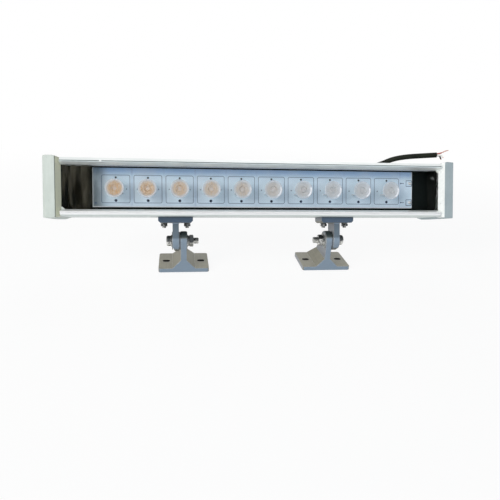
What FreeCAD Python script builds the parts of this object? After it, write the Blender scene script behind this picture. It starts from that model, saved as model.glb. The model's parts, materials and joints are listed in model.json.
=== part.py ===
import FreeCAD, Part
import math
import os

from FreeCAD import Placement, Rotation, Vector

# Outdoor wall washer light: a finned aluminium profile with a glass front stands on two
# toothed tilting brackets. Millimetres, +Z up, the glass faces -Y. The origin is on the
# surface under the feet, at the middle of the light's length and depth, cable left out.
#
# The lamp is drawn in its own upright frame: X along the profile, Y into its depth with
# 0 on the face of the LED board, Z up with 0 on the row of LEDs. It then leans back
# about the tilt axis.

# ---- Stance ----
LEAN_BACK = 20.0          # tilt of the lamp in its rest position, degrees
TILT_AXIS_HEIGHT = 38.0   # above the surface under the feet
TILT_AXIS_DEPTH = 15.0    # behind the face of the LED board
TILT_AXIS_DROP = 62.8     # below the row of LEDs

# ---- Extruded housing ----
OVERALL_LENGTH = 500.0
CAP_LENGTH = 18.6         # each end cap, beyond its gasket
CAP_GASKET = 0.6
HOUSING_HEIGHT = 66.5
FRONT_FACE = 28.0         # front rims, ahead of the LED board
WALL = 2.5
EDGE_CHAMFER = 3.5
RIM_GROOVE_WIDTH = 0.8
RIM_GROOVE_DEPTH = 1.2
RIM_GROOVE_INSET = 3.5    # from the top or bottom face
LIP_INSET = 4.9           # rim edge where the lip starts to slope in
OPENING_HEIGHT = 51.0     # window between the lips
LEDGE = 2.2               # ledge behind the glass
WEB = 3.0                 # wall that carries the LED board
REAR_CHAMBER = 20.9
FIN_LENGTH = 8.5
FIN_THICKNESS = 2.2
FIN_COUNT = 8
BODY_RADIUS = 1.0
LIP_LEAD_IN = 0.4         # how much wider the window is just ahead of the rims
LIP_EDGE = 1.2            # flat inner edge of each lip
LEDGE_STEP = 0.2          # ledge reaches this much past the lip

# ---- T slot in the underside ----
SLOT_MOUTH = 5.2
SLOT_WIDTH = 8.2
SLOT_HEIGHT = 4.0
SLOT_FLOOR = 2.3          # flanges that the bolt heads pull on
SLOT_WALL = 1.8

# ---- Glass ----
GLASS_THICKNESS = 4.0
GLASS_RECESS = 7.6        # glass face behind the front rims
GLASS_GRIP = 2.9          # how far the glass reaches behind each lip
GLASS_PLAY = 0.1
GLASS_END_GAP = 0.5       # pane end, inside the housing's end
GLASS_EDGE_RADIUS = 0.5
SEAL_THICKNESS = 1.2
SEAL_WIDTH = 2.4

# ---- LED board and optics ----
BOARD_LEFT_GAP = 31.8     # left end of the board, inside the housing's end
BOARD_RIGHT_GAP = 25.8
BOARD_TOP = 25.2
BOARD_BOTTOM = 21.6
BOARD_THICKNESS = 1.6
PAD_THICKNESS = 0.5
LED_COUNT = 10
LED_LEFT_MARGIN = 27.0    # first LED, from the left end of the board
LED_RIGHT_MARGIN = 35.0   # last LED, from the right end
LED_BASE = 3.6
LED_BASE_HEIGHT = 0.8
LED_DOME_RADIUS = 1.6
PEG_HOLE = 2.4
PEG_SPACING = 27.6        # upper to lower peg hole
LENS_DIAMETER = 22.0
LENS_HEIGHT = 15.0        # lens face, ahead of the board
LENS_RIM = 1.5
LENS_FOOT_DIAMETER = 10.0
LENS_FOOT_CLEARANCE = 1.2
LENS_DISH_DIAMETER = 8.0
LENS_DISH_DEPTH = 2.0
LENS_CAVITY_DIAMETER = 5.4
LENS_CAVITY_DEPTH = 4.5
LENS_LEG = 1.8
LENS_LEG_COUNT = 3
LENS_LEG_INSET = 0.3      # leg inside the rim
LENS_LIP = 1.2            # rim's overhang round the reflector body
LENS_SHOULDER = 17.2      # reflector body's diameter halfway up
LENS_CAVITY_ROUND = 0.6   # bevel at the end of the LED cavity
LENS_DISH_FLAT = 6.4      # floor of the dish in the face
TRAY_THICKNESS = 1.5
TRAY_PLAY = 0.3
TRAY_END = 3.0            # tray end, inside the housing's end
TRAY_GAP = 0.1            # tray off the web
PAD_INSET = 1.0           # pad edge inside the board's edge

# ---- End caps ----
CAP_HEIGHT = 71.0
CAP_RIDGE = 3.9           # ridge along the front, from the gasket
CAP_SLOPE_BACK = 4.8      # how far the front falls back at the outer end
CAP_BACK_OVERLAP = 1.5
CAP_TONGUE = 5.3          # bevelled tongue that closes the window's end, from the ridge
CAP_TONGUE_PLAY = 0.3
CAP_WALL = 3.0
CAP_CORNER_RADIUS = 3.0
CAP_SHOULDER = 7.0        # bevel that falls from the cap to the housing
CAP_SCREW_HEAD = 7.0
CAP_SCREW_HEAD_HEIGHT = 2.6
CAP_SCREW_SHANK = 3.3
CAP_SCREW_LENGTH = 26.0
CAP_SCREW_SOCKET = 2.5
CAP_SCREW_SOCKET_DEPTH = 1.6
SCREW_PORT = 3.4
SCREW_BOSS = 7.0
PORT_FROM_WEB = 2.1       # screw axis from the web, the rear wall and the top wall
PORT_FROM_REAR = 1.5
PORT_FROM_TOP = 2.6
GASKET_CORNER = 2.0
GASKET_BAND = 1.0         # how far the gasket reaches inside the housing's wall

# ---- Driver ----
DRIVER_LENGTH = 110.0
DRIVER_HEIGHT = 40.0
DRIVER_DEPTH = 11.0
DRIVER_RAISE = 2.0
DRIVER_CORNER = 2.0
DRIVER_RIM = 2.0          # rim round the potting
DRIVER_POTTING = 1.0      # potting below the rim
BOARD_LEAD = 2.0
BOARD_LEAD_SPACING = 24.8
BOARD_LEAD_INSET = 4.5    # solder pads, from the end of the board
BOARD_LEAD_DROP = 3.7     # middle of the two leads, below the board's middle

# ---- Tee brackets ----
FOOT_STEM_OFFSET = 93.0   # stem of each foot, from the middle of the pair
BRACKET_SHIFT = 1.4       # middle of the pair, right of the lamp's middle
FLANGE_WIDTH = 42.2
FLANGE_DEPTH = 30.0
FLANGE_THICKNESS = 7.3
FLANGE_CHAMFER = 2.4
TEE_STEM = 7.6
TEE_END_RADIUS = 13.0
TEE_END_CHAMFER = 2.5
TEE_ROOT_RADIUS = 1.5
SLOT_BOLT = 5.0
SLOT_BOLT_SPACING = 28.6
SLOT_BOLT_HEAD = 8.0
SLOT_BOLT_HEAD_HEIGHT = 3.3
SLOT_BOLT_END = 2.0       # thread showing below the nut
SLOT_NUT_HEIGHT = 3.3
SLOT_SPRING_WASHER = 1.0
BOLT_PLAY = 0.1           # radial, round every bolt shank

# ---- Feet ----
PLATE_WIDTH = 63.4
PLATE_DEPTH = 50.8
PLATE_THICKNESS = 5.0
PLATE_CORNER_RADIUS = 3.0
FOOT_STEM = 7.2
FOOT_END_RADIUS = 12.0
FLARE_HOLLOW = 1.2        # sag of the rear flare below a straight line
GUSSET = 10.8
ANCHOR_SPACING = 44.5
ANCHOR_SLOT_WIDTH = 6.5
ANCHOR_SLOT_LENGTH = 9.5
FLARE_DROP = 2.0          # top of the rear flare, below the tilt axis

# ---- Toothed joint ----
RING_DIAMETER = 22.4
RING_HEIGHT = 1.1
OUTER_RING_HEIGHT = 0.9
TOOTH_COUNT = 45
TOOTH_DEPTH = 0.8
JOINT_PLAY = 0.1
CROWN_FLAT = 0.01         # flat between the two roundings of a tee's end
PIVOT_BOLT = 8.0
PIVOT_HEAD = 13.0
PIVOT_HEAD_HEIGHT = 4.6
PIVOT_HEAD_EDGE = 2.1     # straight rim below the head's slope
PIVOT_HEAD_TOP = 8.4
PIVOT_SOCKET = 5.0
PIVOT_SOCKET_DEPTH = 2.4
PIVOT_NUT = 13.0
PIVOT_NUT_HEIGHT = 5.4
PIVOT_BOLT_END = 6.4
FLAT_WASHER = 15.0
FLAT_WASHER_HEIGHT = 1.1
SPRING_WASHER = 13.0
SPRING_WASHER_HEIGHT = 1.2
SPRING_WASHER_SPLIT = 0.8

# ---- Cable gland and cable ----
GLAND_OFFSET = 35.0       # along the profile
GLAND_THREAD = 16.0
GLAND_HEX = 20.0
GLAND_HEX_HEIGHT = 4.0
GLAND_WASHER_HEIGHT = 1.0
GLAND_STUB = 13.0         # outer thread under the dome nut
GLAND_STUB_HEIGHT = 7.0
GLAND_NUT_HEIGHT = 16.0
GLAND_NUT_FLATS = 6.5     # hexagon before the taper
GLAND_NUT_SHOULDER = 9.0
GLAND_NUT_NECK = 14.0
GLAND_NUT_NECK_DIAMETER = 14.5
GLAND_NUT_GAP = 0.5
GLAND_MOUTH = 11.0
GLAND_LOCKNUT_HEIGHT = 3.5
GLAND_THREAD_END = 1.0    # thread showing inside the locknut
GLAND_POCKET = 27.0       # fins are milled away round the gland
CABLE = 6.8
CABLE_PLAY = 0.1
GLAND_SLEEVE_WALL = 1.6

# Free cable: offsets in the lamp's frame from the gland's mouth, round behind the fins,
# up over the rear top edge and on towards the right end cap.
CABLE_ROUTE = [
    (0.0, 0.0, 0.0), (0.0, 14.0, 0.0), (3.7, 31.2, -0.6), (14.6, 45.4, -0.4),
    (31.2, 53.6, 1.2), (50.4, 53.6, 4.8), (69.5, 47.0, 9.6), (88.5, 36.8, 15.2),
    (106.5, 25.0, 21.0), (123.5, 12.5, 26.6), (147.5, -1.0, 32.8), (160.0, -12.5, 38.7),
    (176.3, -21.0, 40.9), (194.4, -28.0, 41.4), (213.1, -33.5, 42.0),
]
CORE = 1.9                # each insulated core
CORE_SPREAD = 1.5         # core centres from the cable's centre line
CORE_STRAIGHT = 3.4       # each core's way straight out of the cut jacket
CORE_ENDS = {
    "core_red": [(7.3, -2.2, 1.6), (11.1, -3.3, 3.7), (14.9, -4.4, 4.3)],
    "core_black": [(6.1, -1.8, -1.6), (8.0, -2.4, -5.1)],
    "core_white": [(6.1, -1.8, -1.1), (8.2, -2.4, -3.7)],
}
SHEATH_END = 6.0          # sheath cut back inside the rear wall
INNER_STRAIGHT = 6.0      # inner cores' way straight out of the sheath
INNER_BEND = 0.45         # their second bend, as a share of the way to the driver

OVERRUN = 1.0             # how far a cut runs past the faces it opens

# ---- Values that follow ----
half_length = OVERALL_LENGTH / 2
cap_inner = half_length - CAP_LENGTH
housing_end = cap_inner - CAP_GASKET
half_height = HOUSING_HEIGHT / 2
board_left = -housing_end + BOARD_LEFT_GAP
board_right = housing_end - BOARD_RIGHT_GAP
cap_half_height = CAP_HEIGHT / 2
glass_front = -FRONT_FACE + GLASS_RECESS
glass_back = glass_front + GLASS_THICKNESS
ledge_front = glass_back + SEAL_THICKNESS
ledge_back = ledge_front + LEDGE
half_opening = OPENING_HEIGHT / 2
glass_half_height = half_opening + GLASS_GRIP
inner_half_height = half_height - WALL
web_front = BOARD_THICKNESS + PAD_THICKNESS
web_back = web_front + WEB
chamber_back = web_back + REAR_CHAMBER
rear_wall = chamber_back + WALL
fin_tip = rear_wall + FIN_LENGTH
fin_pitch = (HOUSING_HEIGHT - FIN_THICKNESS) / (FIN_COUNT - 1)
slot_top = -half_height + SLOT_FLOOR + SLOT_HEIGHT
gland_height = fin_pitch
tee_offset = FOOT_STEM_OFFSET + (FOOT_STEM + TEE_STEM) / 2 + 2 * RING_HEIGHT + JOINT_PLAY
flange_bottom = -half_height - FLANGE_THICKNESS
lamp_frame = Placement(
    Vector(0, 0, TILT_AXIS_HEIGHT),
    Rotation(Vector(1, 0, 0), -LEAN_BACK),
).multiply(Placement(Vector(0, -TILT_AXIS_DEPTH, TILT_AXIS_DROP), Rotation()))


def on_yz(x):
    """Places a drawn point (u, v) at (x, u, v)."""
    return lambda u, v: Vector(x, u, v)


def on_xy(z):
    """Places a drawn point (u, v) at (u, v, z)."""
    return lambda u, v: Vector(u, v, z)


def on_xz(y):
    """Places a drawn point (u, v) at (u, y, v)."""
    return lambda u, v: Vector(u, y, v)


def outline(points, place):
    """Closed wire through (u, v) or (u, v, corner radius) points."""
    corners = []
    for index, point in enumerate(points):
        here = Vector(point[0], point[1], 0)
        before = Vector(points[index - 1][0], points[index - 1][1], 0)
        after_point = points[(index + 1) % len(points)]
        after = Vector(after_point[0], after_point[1], 0)
        radius = point[2] if len(point) > 2 else 0
        if radius == 0:
            corners.append([here])
            continue
        to_before = (before - here).normalize()
        to_after = (after - here).normalize()
        half_angle = to_before.getAngle(to_after) / 2
        inward = (to_before + to_after).normalize()
        reach = radius / math.tan(half_angle)
        middle = here + inward * (radius / math.sin(half_angle) - radius)
        corners.append([here + to_before * reach, middle, here + to_after * reach])
    edges = []
    for index, corner in enumerate(corners):
        spots = [place(spot.x, spot.y) for spot in corner]
        if len(spots) == 3:
            edges.append(Part.Arc(*spots).toShape())
        target = corners[(index + 1) % len(corners)][0]
        target = place(target.x, target.y)
        if spots[-1].distanceToPoint(target) > 1e-6:
            edges.append(Part.LineSegment(spots[-1], target).toShape())
    return Part.Wire(edges)


def prism(points, place, direction):
    """Solid swept from a drawn outline along a vector."""
    return Part.Face(outline(points, place)).extrude(direction)


def mirrored(points):
    """Points of an upper half outline, closed by their mirror image below."""
    return points + [(point[0], -point[1]) + tuple(point[2:]) for point in reversed(points)]


def block(x0, x1, y0, y1, z0, z1):
    """Box between two corners."""
    return Part.makeBox(x1 - x0, y1 - y0, z1 - z0, Vector(x0, y0, z0))


def cylinder(diameter, start, end):
    """Round bar from one point to another."""
    axis = end - start
    return Part.makeCylinder(diameter / 2, axis.Length, start, axis)


def hexagon(across_flats, start, end):
    """Hexagonal bar from one point to another along a main axis."""
    radius = across_flats / math.sqrt(3)
    axis = end - start
    side = Vector(0, 0, 1) if abs(axis.z) < axis.Length / 2 else Vector(0, 1, 0)
    turn = axis.cross(side).normalize()
    spots = []
    for index in range(6):
        angle = math.radians(60 * index)
        spots.append(start + side * radius * math.cos(angle) + turn * radius * math.sin(angle))
    return Part.Face(Part.makePolygon(spots + [spots[0]])).extrude(axis)


def turned(points, origin, axis):
    """Solid of revolution from (radius, distance along the axis) points."""
    side = Vector(0, 0, 1) if abs(axis.z) < 0.5 else Vector(0, 1, 0)
    wire = outline(points, lambda radius, along: origin + side * radius + axis * along)
    return Part.Face(wire).revolve(origin, axis, 360)


def united(shapes):
    """One solid from overlapping or touching shapes."""
    return shapes[0].multiFuse(shapes[1:]).removeSplitter()


def mirror_side(shape):
    """The same piece on the other side of the lamp's middle."""
    return shape.mirror(Vector(0, 0, 0), Vector(1, 0, 0))


# ---------------------------------------------------------------- housing

def screw_ports():
    """Screw axes (y, z) in the corners of the rear chamber."""
    near = web_back + PORT_FROM_WEB
    far = chamber_back - PORT_FROM_REAR
    level = inner_half_height - PORT_FROM_TOP
    return [(near, level), (far, level), (near, -level), (far, -level)]


def housing_cavities(length, start):
    """Everything that the extrusion leaves open, as prisms along X."""
    along = Vector(length, 0, 0)
    place = on_yz(start)
    lip_start = half_height - LIP_INSET
    window = mirrored([
        (-FRONT_FACE - OVERRUN, lip_start + LIP_LEAD_IN),
        (-FRONT_FACE, lip_start),
        (glass_front - LIP_EDGE, half_opening),
        (glass_front - GLASS_PLAY, half_opening),
        (glass_front - GLASS_PLAY, glass_half_height + 2 * GLASS_PLAY),
        (ledge_front, glass_half_height + 2 * GLASS_PLAY),
        (ledge_front, half_opening - LEDGE_STEP),
        (ledge_back, half_opening - LEDGE_STEP),
        (ledge_back, inner_half_height, BODY_RADIUS),
        (web_front, inner_half_height),
    ])
    channel_top = slot_top + SLOT_WALL
    channel_half = SLOT_WIDTH / 2 + SLOT_WALL
    chamber = [
        (web_back, channel_top, BODY_RADIUS),
        (TILT_AXIS_DEPTH + channel_half, channel_top, BODY_RADIUS),
        (TILT_AXIS_DEPTH + channel_half, -inner_half_height, BODY_RADIUS),
        (chamber_back, -inner_half_height, BODY_RADIUS),
        (chamber_back, inner_half_height, BODY_RADIUS),
        (web_back, inner_half_height, BODY_RADIUS),
    ]
    slot = [
        (TILT_AXIS_DEPTH - SLOT_MOUTH / 2, -half_height - OVERRUN),
        (TILT_AXIS_DEPTH + SLOT_MOUTH / 2, -half_height - OVERRUN),
        (TILT_AXIS_DEPTH + SLOT_MOUTH / 2, -half_height + SLOT_FLOOR),
        (TILT_AXIS_DEPTH + SLOT_WIDTH / 2, -half_height + SLOT_FLOOR),
        (TILT_AXIS_DEPTH + SLOT_WIDTH / 2, slot_top),
        (TILT_AXIS_DEPTH - SLOT_WIDTH / 2, slot_top),
        (TILT_AXIS_DEPTH - SLOT_WIDTH / 2, -half_height + SLOT_FLOOR),
        (TILT_AXIS_DEPTH - SLOT_MOUTH / 2, -half_height + SLOT_FLOOR),
    ]
    cavities = [prism(window, place, along), prism(slot, place, along)]
    bosses = []
    for y, z in screw_ports():
        bosses.append(cylinder(SCREW_BOSS, Vector(start, y, z), Vector(start + length, y, z)))
        cavities.append(cylinder(SCREW_PORT, Vector(start, y, z), Vector(start + length, y, z)))
    cavities.append(prism(chamber, place, along).cut(bosses))
    return cavities


def fin_gaps(length, start):
    """Grooves between the cooling fins."""
    gaps = []
    for index in range(FIN_COUNT - 1):
        low = -half_height + FIN_THICKNESS + index * fin_pitch
        gap = [
            (rear_wall, low, BODY_RADIUS),
            (fin_tip + OVERRUN, low),
            (fin_tip + OVERRUN, low + fin_pitch - FIN_THICKNESS),
            (rear_wall, low + fin_pitch - FIN_THICKNESS, BODY_RADIUS),
        ]
        gaps.append(prism(gap, on_yz(start), Vector(length, 0, 0)))
    return gaps


def rim_grooves(length, start):
    """Thin line along each front rim."""
    grooves = []
    for side in (1, -1):
        middle = side * (half_height - RIM_GROOVE_INSET - RIM_GROOVE_WIDTH / 2)
        grooves.append(block(
            start, start + length,
            -FRONT_FACE - OVERRUN, -FRONT_FACE + RIM_GROOVE_DEPTH,
            middle - RIM_GROOVE_WIDTH / 2, middle + RIM_GROOVE_WIDTH / 2,
        ))
    return grooves


def board_lead_places():
    """Where the two leads pass through the web to the board: (x, z)."""
    x = board_right - BOARD_LEAD_INSET
    middle = (BOARD_TOP - BOARD_BOTTOM) / 2 - BOARD_LEAD_DROP
    return [(x, middle + BOARD_LEAD_SPACING / 2), (x, middle - BOARD_LEAD_SPACING / 2)]


def housing():
    """Extruded aluminium profile with window lips, T slot and cooling fins."""
    length = 2 * housing_end
    body = mirrored([
        (-FRONT_FACE, half_height - EDGE_CHAMFER),
        (-FRONT_FACE + EDGE_CHAMFER, half_height),
        (fin_tip, half_height, BODY_RADIUS),
    ])
    shape = prism(body, on_yz(-housing_end), Vector(length, 0, 0))
    cuts = housing_cavities(length, -housing_end)
    cuts += fin_gaps(length, -housing_end)
    cuts += rim_grooves(length, -housing_end)
    gland_axis = Vector(GLAND_OFFSET, 0, gland_height)
    cuts.append(cylinder(
        GLAND_THREAD + 2 * CABLE_PLAY,
        gland_axis + Vector(0, chamber_back - OVERRUN, 0),
        gland_axis + Vector(0, rear_wall + OVERRUN, 0),
    ))
    cuts.append(cylinder(
        GLAND_POCKET,
        gland_axis + Vector(0, rear_wall, 0),
        gland_axis + Vector(0, fin_tip + OVERRUN, 0),
    ))
    for x, z in board_lead_places():
        cuts.append(cylinder(
            BOARD_LEAD + 2 * TRAY_PLAY,
            Vector(x, web_front - OVERRUN, z),
            Vector(x, web_back + OVERRUN, z),
        ))
    return shape.cut(cuts)


# ---------------------------------------------------------------- end caps

def cap_gasket():
    """Right gasket: a flat frame that follows the housing's end."""
    top = half_height - GASKET_CORNER
    inside = inner_half_height - GASKET_BAND
    plate = prism(mirrored([
        (ledge_front, top, GASKET_CORNER),
        (rear_wall, top, GASKET_CORNER),
    ]), on_yz(housing_end), Vector(CAP_GASKET, 0, 0))
    window = prism(mirrored([
        (ledge_back + GASKET_BAND, inside, GASKET_CORNER),
        (web_front, inside, GASKET_CORNER),
    ]), on_yz(housing_end), Vector(CAP_GASKET, 0, 0))
    rear = prism(mirrored([
        (web_back + SCREW_BOSS, inside - SCREW_BOSS, GASKET_CORNER),
        (chamber_back - GASKET_BAND, inside - SCREW_BOSS, GASKET_CORNER),
    ]), on_yz(housing_end), Vector(CAP_GASKET, 0, 0))
    holes = []
    for y, z in screw_ports():
        holes.append(cylinder(
            CAP_SCREW_SHANK + 2 * BOLT_PLAY,
            Vector(housing_end, y, z),
            Vector(housing_end + CAP_GASKET, y, z),
        ))
    return plate.cut([window, rear] + holes)


def end_cap():
    """Right end cap: hood with a front ridge and a tongue that closes the window's end."""
    back = fin_tip + CAP_BACK_OVERLAP
    ridge = cap_inner + CAP_RIDGE
    bevel = (glass_front - GLASS_PLAY + FRONT_FACE) / CAP_TONGUE
    plan = [
        (cap_inner, -FRONT_FACE + bevel * CAP_RIDGE),
        (ridge, -FRONT_FACE),
        (half_length, -FRONT_FACE + CAP_SLOPE_BACK, CAP_CORNER_RADIUS),
        (half_length, back, CAP_CORNER_RADIUS),
        (cap_inner, back),
    ]
    hood = prism(plan, on_xy(-cap_half_height), Vector(0, 0, CAP_HEIGHT))
    step = cap_half_height - half_height
    front_view = mirrored([
        (cap_inner, half_height),
        (cap_inner + CAP_SHOULDER, half_height + step),
        (half_length, cap_half_height, step),
    ])
    front = -FRONT_FACE - OVERRUN
    shoulder = prism(front_view, on_xz(front), Vector(0, back + OVERRUN - front, 0))
    hood = hood.common(shoulder)
    pocket = mirrored([
        (ledge_back, inner_half_height - GASKET_BAND, CAP_CORNER_RADIUS),
        (chamber_back, inner_half_height - GASKET_BAND, CAP_CORNER_RADIUS),
    ])
    depth = CAP_LENGTH - CAP_WALL
    hollow = prism(pocket, on_yz(cap_inner), Vector(depth, 0, 0))
    bosses = []
    holes = []
    for y, z in screw_ports():
        bosses.append(cylinder(
            SCREW_BOSS + GASKET_BAND,
            Vector(cap_inner, y, z),
            Vector(half_length - CAP_WALL, y, z),
        ))
        holes.append(cylinder(
            CAP_SCREW_SHANK + 2 * BOLT_PLAY, Vector(cap_inner, y, z), Vector(half_length, y, z),
        ))
        holes.append(cylinder(
            CAP_SCREW_HEAD + 4 * BOLT_PLAY,
            Vector(half_length - CAP_SCREW_HEAD_HEIGHT, y, z),
            Vector(half_length + OVERRUN, y, z),
        ))
    hood = hood.cut([hollow.cut(bosses)])
    return united([hood, cap_tongue()]).cut(holes)


def cap_tongue():
    """Bevelled tongue between the lips, from the ridge down to the glass."""
    ridge = cap_inner + CAP_RIDGE
    tip = ridge - CAP_TONGUE
    glass_face = glass_front - GLASS_PLAY
    plan = [
        (ridge, -FRONT_FACE),
        (tip, glass_face),
        (ridge, glass_face),
    ]
    wedge = prism(plan, on_xy(-half_height), Vector(0, 0, HOUSING_HEIGHT))
    between_lips = mirrored([
        (-FRONT_FACE, half_height - LIP_INSET - CAP_TONGUE_PLAY),
        (glass_front - LIP_EDGE, half_opening - CAP_TONGUE_PLAY),
        (glass_face, half_opening - CAP_TONGUE_PLAY),
    ])
    throat = prism(between_lips, on_yz(tip), Vector(CAP_TONGUE, 0, 0))
    return wedge.common(throat)


def cap_screws():
    """Four screws of the right end cap."""
    screws = []
    for y, z in screw_ports():
        head = cylinder(
            CAP_SCREW_HEAD,
            Vector(half_length - CAP_SCREW_HEAD_HEIGHT, y, z),
            Vector(half_length - BOLT_PLAY, y, z),
        )
        shank = cylinder(
            CAP_SCREW_SHANK,
            Vector(half_length - CAP_SCREW_HEAD_HEIGHT - CAP_SCREW_LENGTH, y, z),
            Vector(half_length - CAP_SCREW_HEAD_HEIGHT, y, z),
        )
        socket = hexagon(
            CAP_SCREW_SOCKET,
            Vector(half_length - CAP_SCREW_SOCKET_DEPTH, y, z),
            Vector(half_length, y, z),
        )
        screws.append(united([head, shank]).cut(socket))
    return Part.makeCompound(screws)


# ---------------------------------------------------------------- glass and optics

def front_glass():
    """Flat toughened pane."""
    end = housing_end - GLASS_END_GAP
    pane = mirrored([
        (glass_front, glass_half_height, GLASS_EDGE_RADIUS),
        (glass_back, glass_half_height, GLASS_EDGE_RADIUS),
    ])
    return prism(pane, on_yz(-end), Vector(2 * end, 0, 0))


def glass_seal():
    """Flat black seal between the pane and the ledge."""
    end = housing_end - GLASS_END_GAP
    outer = block(-end, end, glass_back, ledge_front, -glass_half_height, glass_half_height)
    inner = block(
        -end + SEAL_WIDTH, end - SEAL_WIDTH,
        glass_back, ledge_front,
        -glass_half_height + SEAL_WIDTH, glass_half_height - SEAL_WIDTH,
    )
    return outer.cut(inner)


def led_places():
    """X of each LED, left to right."""
    first = board_left + LED_LEFT_MARGIN
    pitch = (board_right - LED_RIGHT_MARGIN - first) / (LED_COUNT - 1)
    return [first + pitch * index for index in range(LED_COUNT)]


def board_box(margin, y0, y1):
    """Box round the LED board, grown by a margin."""
    return block(
        board_left - margin, board_right + margin,
        y0, y1,
        -BOARD_BOTTOM - margin, BOARD_TOP + margin,
    )


def led_board():
    """Aluminium-core board with a peg hole above and below each LED."""
    board = board_box(0, 0, BOARD_THICKNESS)
    holes = []
    for x in led_places():
        for side in (1, -1):
            z = side * PEG_SPACING / 2
            holes.append(cylinder(PEG_HOLE, Vector(x, 0, z), Vector(x, BOARD_THICKNESS, z)))
    return board.cut(holes)


def board_tray():
    """Black tray that masks everything round the board."""
    end = housing_end - TRAY_END
    half = inner_half_height - TRAY_PLAY
    back = web_front - TRAY_GAP
    face = back - TRAY_THICKNESS
    plate = block(-end, end, face, back, -half, half)
    walls = []
    front = ledge_back + TRAY_PLAY
    for side in (1, -1):
        inside = side * (half - TRAY_THICKNESS)
        walls.append(block(
            -end, end, front, face, min(inside, side * half), max(inside, side * half),
        ))
    opening = board_box(TRAY_PLAY, face - OVERRUN, back + OVERRUN)
    return united([plate] + walls).cut(opening)


def thermal_pad():
    """Soft heat-conducting sheet under the board, holed for the leads."""
    sheet = board_box(-PAD_INSET, BOARD_THICKNESS, web_front)
    holes = []
    for x, z in board_lead_places():
        holes.append(cylinder(
            BOARD_LEAD + 2 * TRAY_PLAY,
            Vector(x, BOARD_THICKNESS, z),
            Vector(x, web_front, z),
        ))
    return sheet.cut(holes)


def leds():
    """LED packages: a square base with a clear dome."""
    packages = []
    for x in led_places():
        half = LED_BASE / 2
        base = block(x - half, x + half, -LED_BASE_HEIGHT, 0, -half, half)
        dome = Part.makeSphere(LED_DOME_RADIUS, Vector(x, -LED_BASE_HEIGHT, 0))
        outside = block(x - half, x + half, -LED_BASE_HEIGHT, half, -half, half)
        packages.append(united([base, dome.cut(outside)]))
    return Part.makeCompound(packages)


def lens(x):
    """Collimator lens: rim, tapering reflector body, LED cavity and three legs."""
    rim = LENS_DIAMETER / 2
    rim_back = LENS_HEIGHT - LENS_RIM
    cavity_end = LENS_FOOT_CLEARANCE + LENS_CAVITY_DEPTH
    cavity = LENS_CAVITY_DIAMETER / 2
    waist = (LENS_FOOT_CLEARANCE + rim_back) / 2
    body = turned([
        (0, cavity_end),
        (cavity - LENS_CAVITY_ROUND, cavity_end),
        (cavity, cavity_end - LENS_CAVITY_ROUND),
        (cavity, LENS_FOOT_CLEARANCE),
        (LENS_FOOT_DIAMETER / 2, LENS_FOOT_CLEARANCE),
        (LENS_SHOULDER / 2, waist),
        (rim - LENS_LIP, rim_back),
        (rim, rim_back),
        (rim, LENS_HEIGHT),
        (LENS_DISH_DIAMETER / 2, LENS_HEIGHT),
        (LENS_DISH_FLAT / 2, LENS_HEIGHT - LENS_DISH_DEPTH),
        (0, LENS_HEIGHT - LENS_DISH_DEPTH),
    ], Vector(x, 0, 0), Vector(0, -1, 0))
    legs = []
    for index in range(LENS_LEG_COUNT):
        angle = math.radians(90 + 360 * index / LENS_LEG_COUNT)
        reach = rim - LENS_LEG / 2 - LENS_LEG_INSET
        axis = Vector(x + reach * math.cos(angle), 0, reach * math.sin(angle))
        legs.append(cylinder(LENS_LEG, axis, axis + Vector(0, -rim_back, 0)))
    return united([body] + legs)


# ---------------------------------------------------------------- driver and wiring

def driver_middle():
    """X of the driver's middle, to the right of the gland."""
    return GLAND_OFFSET + GLAND_HEX + DRIVER_LENGTH / 2


def driver():
    """Potted driver on the back of the web."""
    start = driver_middle() - DRIVER_LENGTH / 2
    end = driver_middle() + DRIVER_LENGTH / 2
    low = DRIVER_RAISE - DRIVER_HEIGHT / 2
    high = DRIVER_RAISE + DRIVER_HEIGHT / 2
    case = prism([
        (start, low, DRIVER_CORNER),
        (end, low, DRIVER_CORNER),
        (end, high, DRIVER_CORNER),
        (start, high, DRIVER_CORNER),
    ], on_xz(web_back), Vector(0, DRIVER_DEPTH, 0))
    recess = block(
        start + DRIVER_RIM, end - DRIVER_RIM,
        web_back + DRIVER_DEPTH - DRIVER_POTTING, web_back + DRIVER_DEPTH,
        low + DRIVER_RIM, high - DRIVER_RIM,
    )
    return case.cut(recess)


def rounded_path(points, share=0.45):
    """Straight runs joined by tangent arcs; returns the wire, its length and the radii."""
    spots = [Vector(*point) for point in points]
    edges = []
    radii = []
    start = spots[0]
    for before, here, after in zip(spots, spots[1:], spots[2:]):
        back = before - here
        ahead = after - here
        reach = share * min(back.Length, ahead.Length)
        half_turn = (math.pi - back.getAngle(ahead)) / 2
        radius = reach / math.tan(half_turn)
        to_before = back.normalize()
        to_after = ahead.normalize()
        inward = (to_before + to_after).normalize()
        entry = here + to_before * reach
        middle = here + inward * (radius / math.cos(half_turn) - radius)
        leave = here + to_after * reach
        edges.append(Part.LineSegment(start, entry).toShape())
        edges.append(Part.Arc(entry, middle, leave).toShape())
        radii.append(radius)
        start = leave
    edges.append(Part.LineSegment(start, spots[-1]).toShape())
    wire = Part.Wire(edges)
    return wire, wire.Length, radii


def tube(name, points, diameter):
    """Round cord along a route; prints its length, bend radii and volume error."""
    wire, length, radii = rounded_path(points)
    first = Vector(*points[0])
    heading = Vector(*points[1]) - first
    section = Part.Wire([Part.makeCircle(diameter / 2, first, heading)])
    solid = wire.makePipeShell([section], True, False)
    expected = math.pi * diameter ** 2 / 4 * length
    error = abs(solid.Volume / expected - 1)
    shown = ", ".join("%.1f" % radius for radius in radii)
    print("%s: length %.1f, radii %s, volume error %.5f" % (name, length, shown, error))
    return solid


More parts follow.
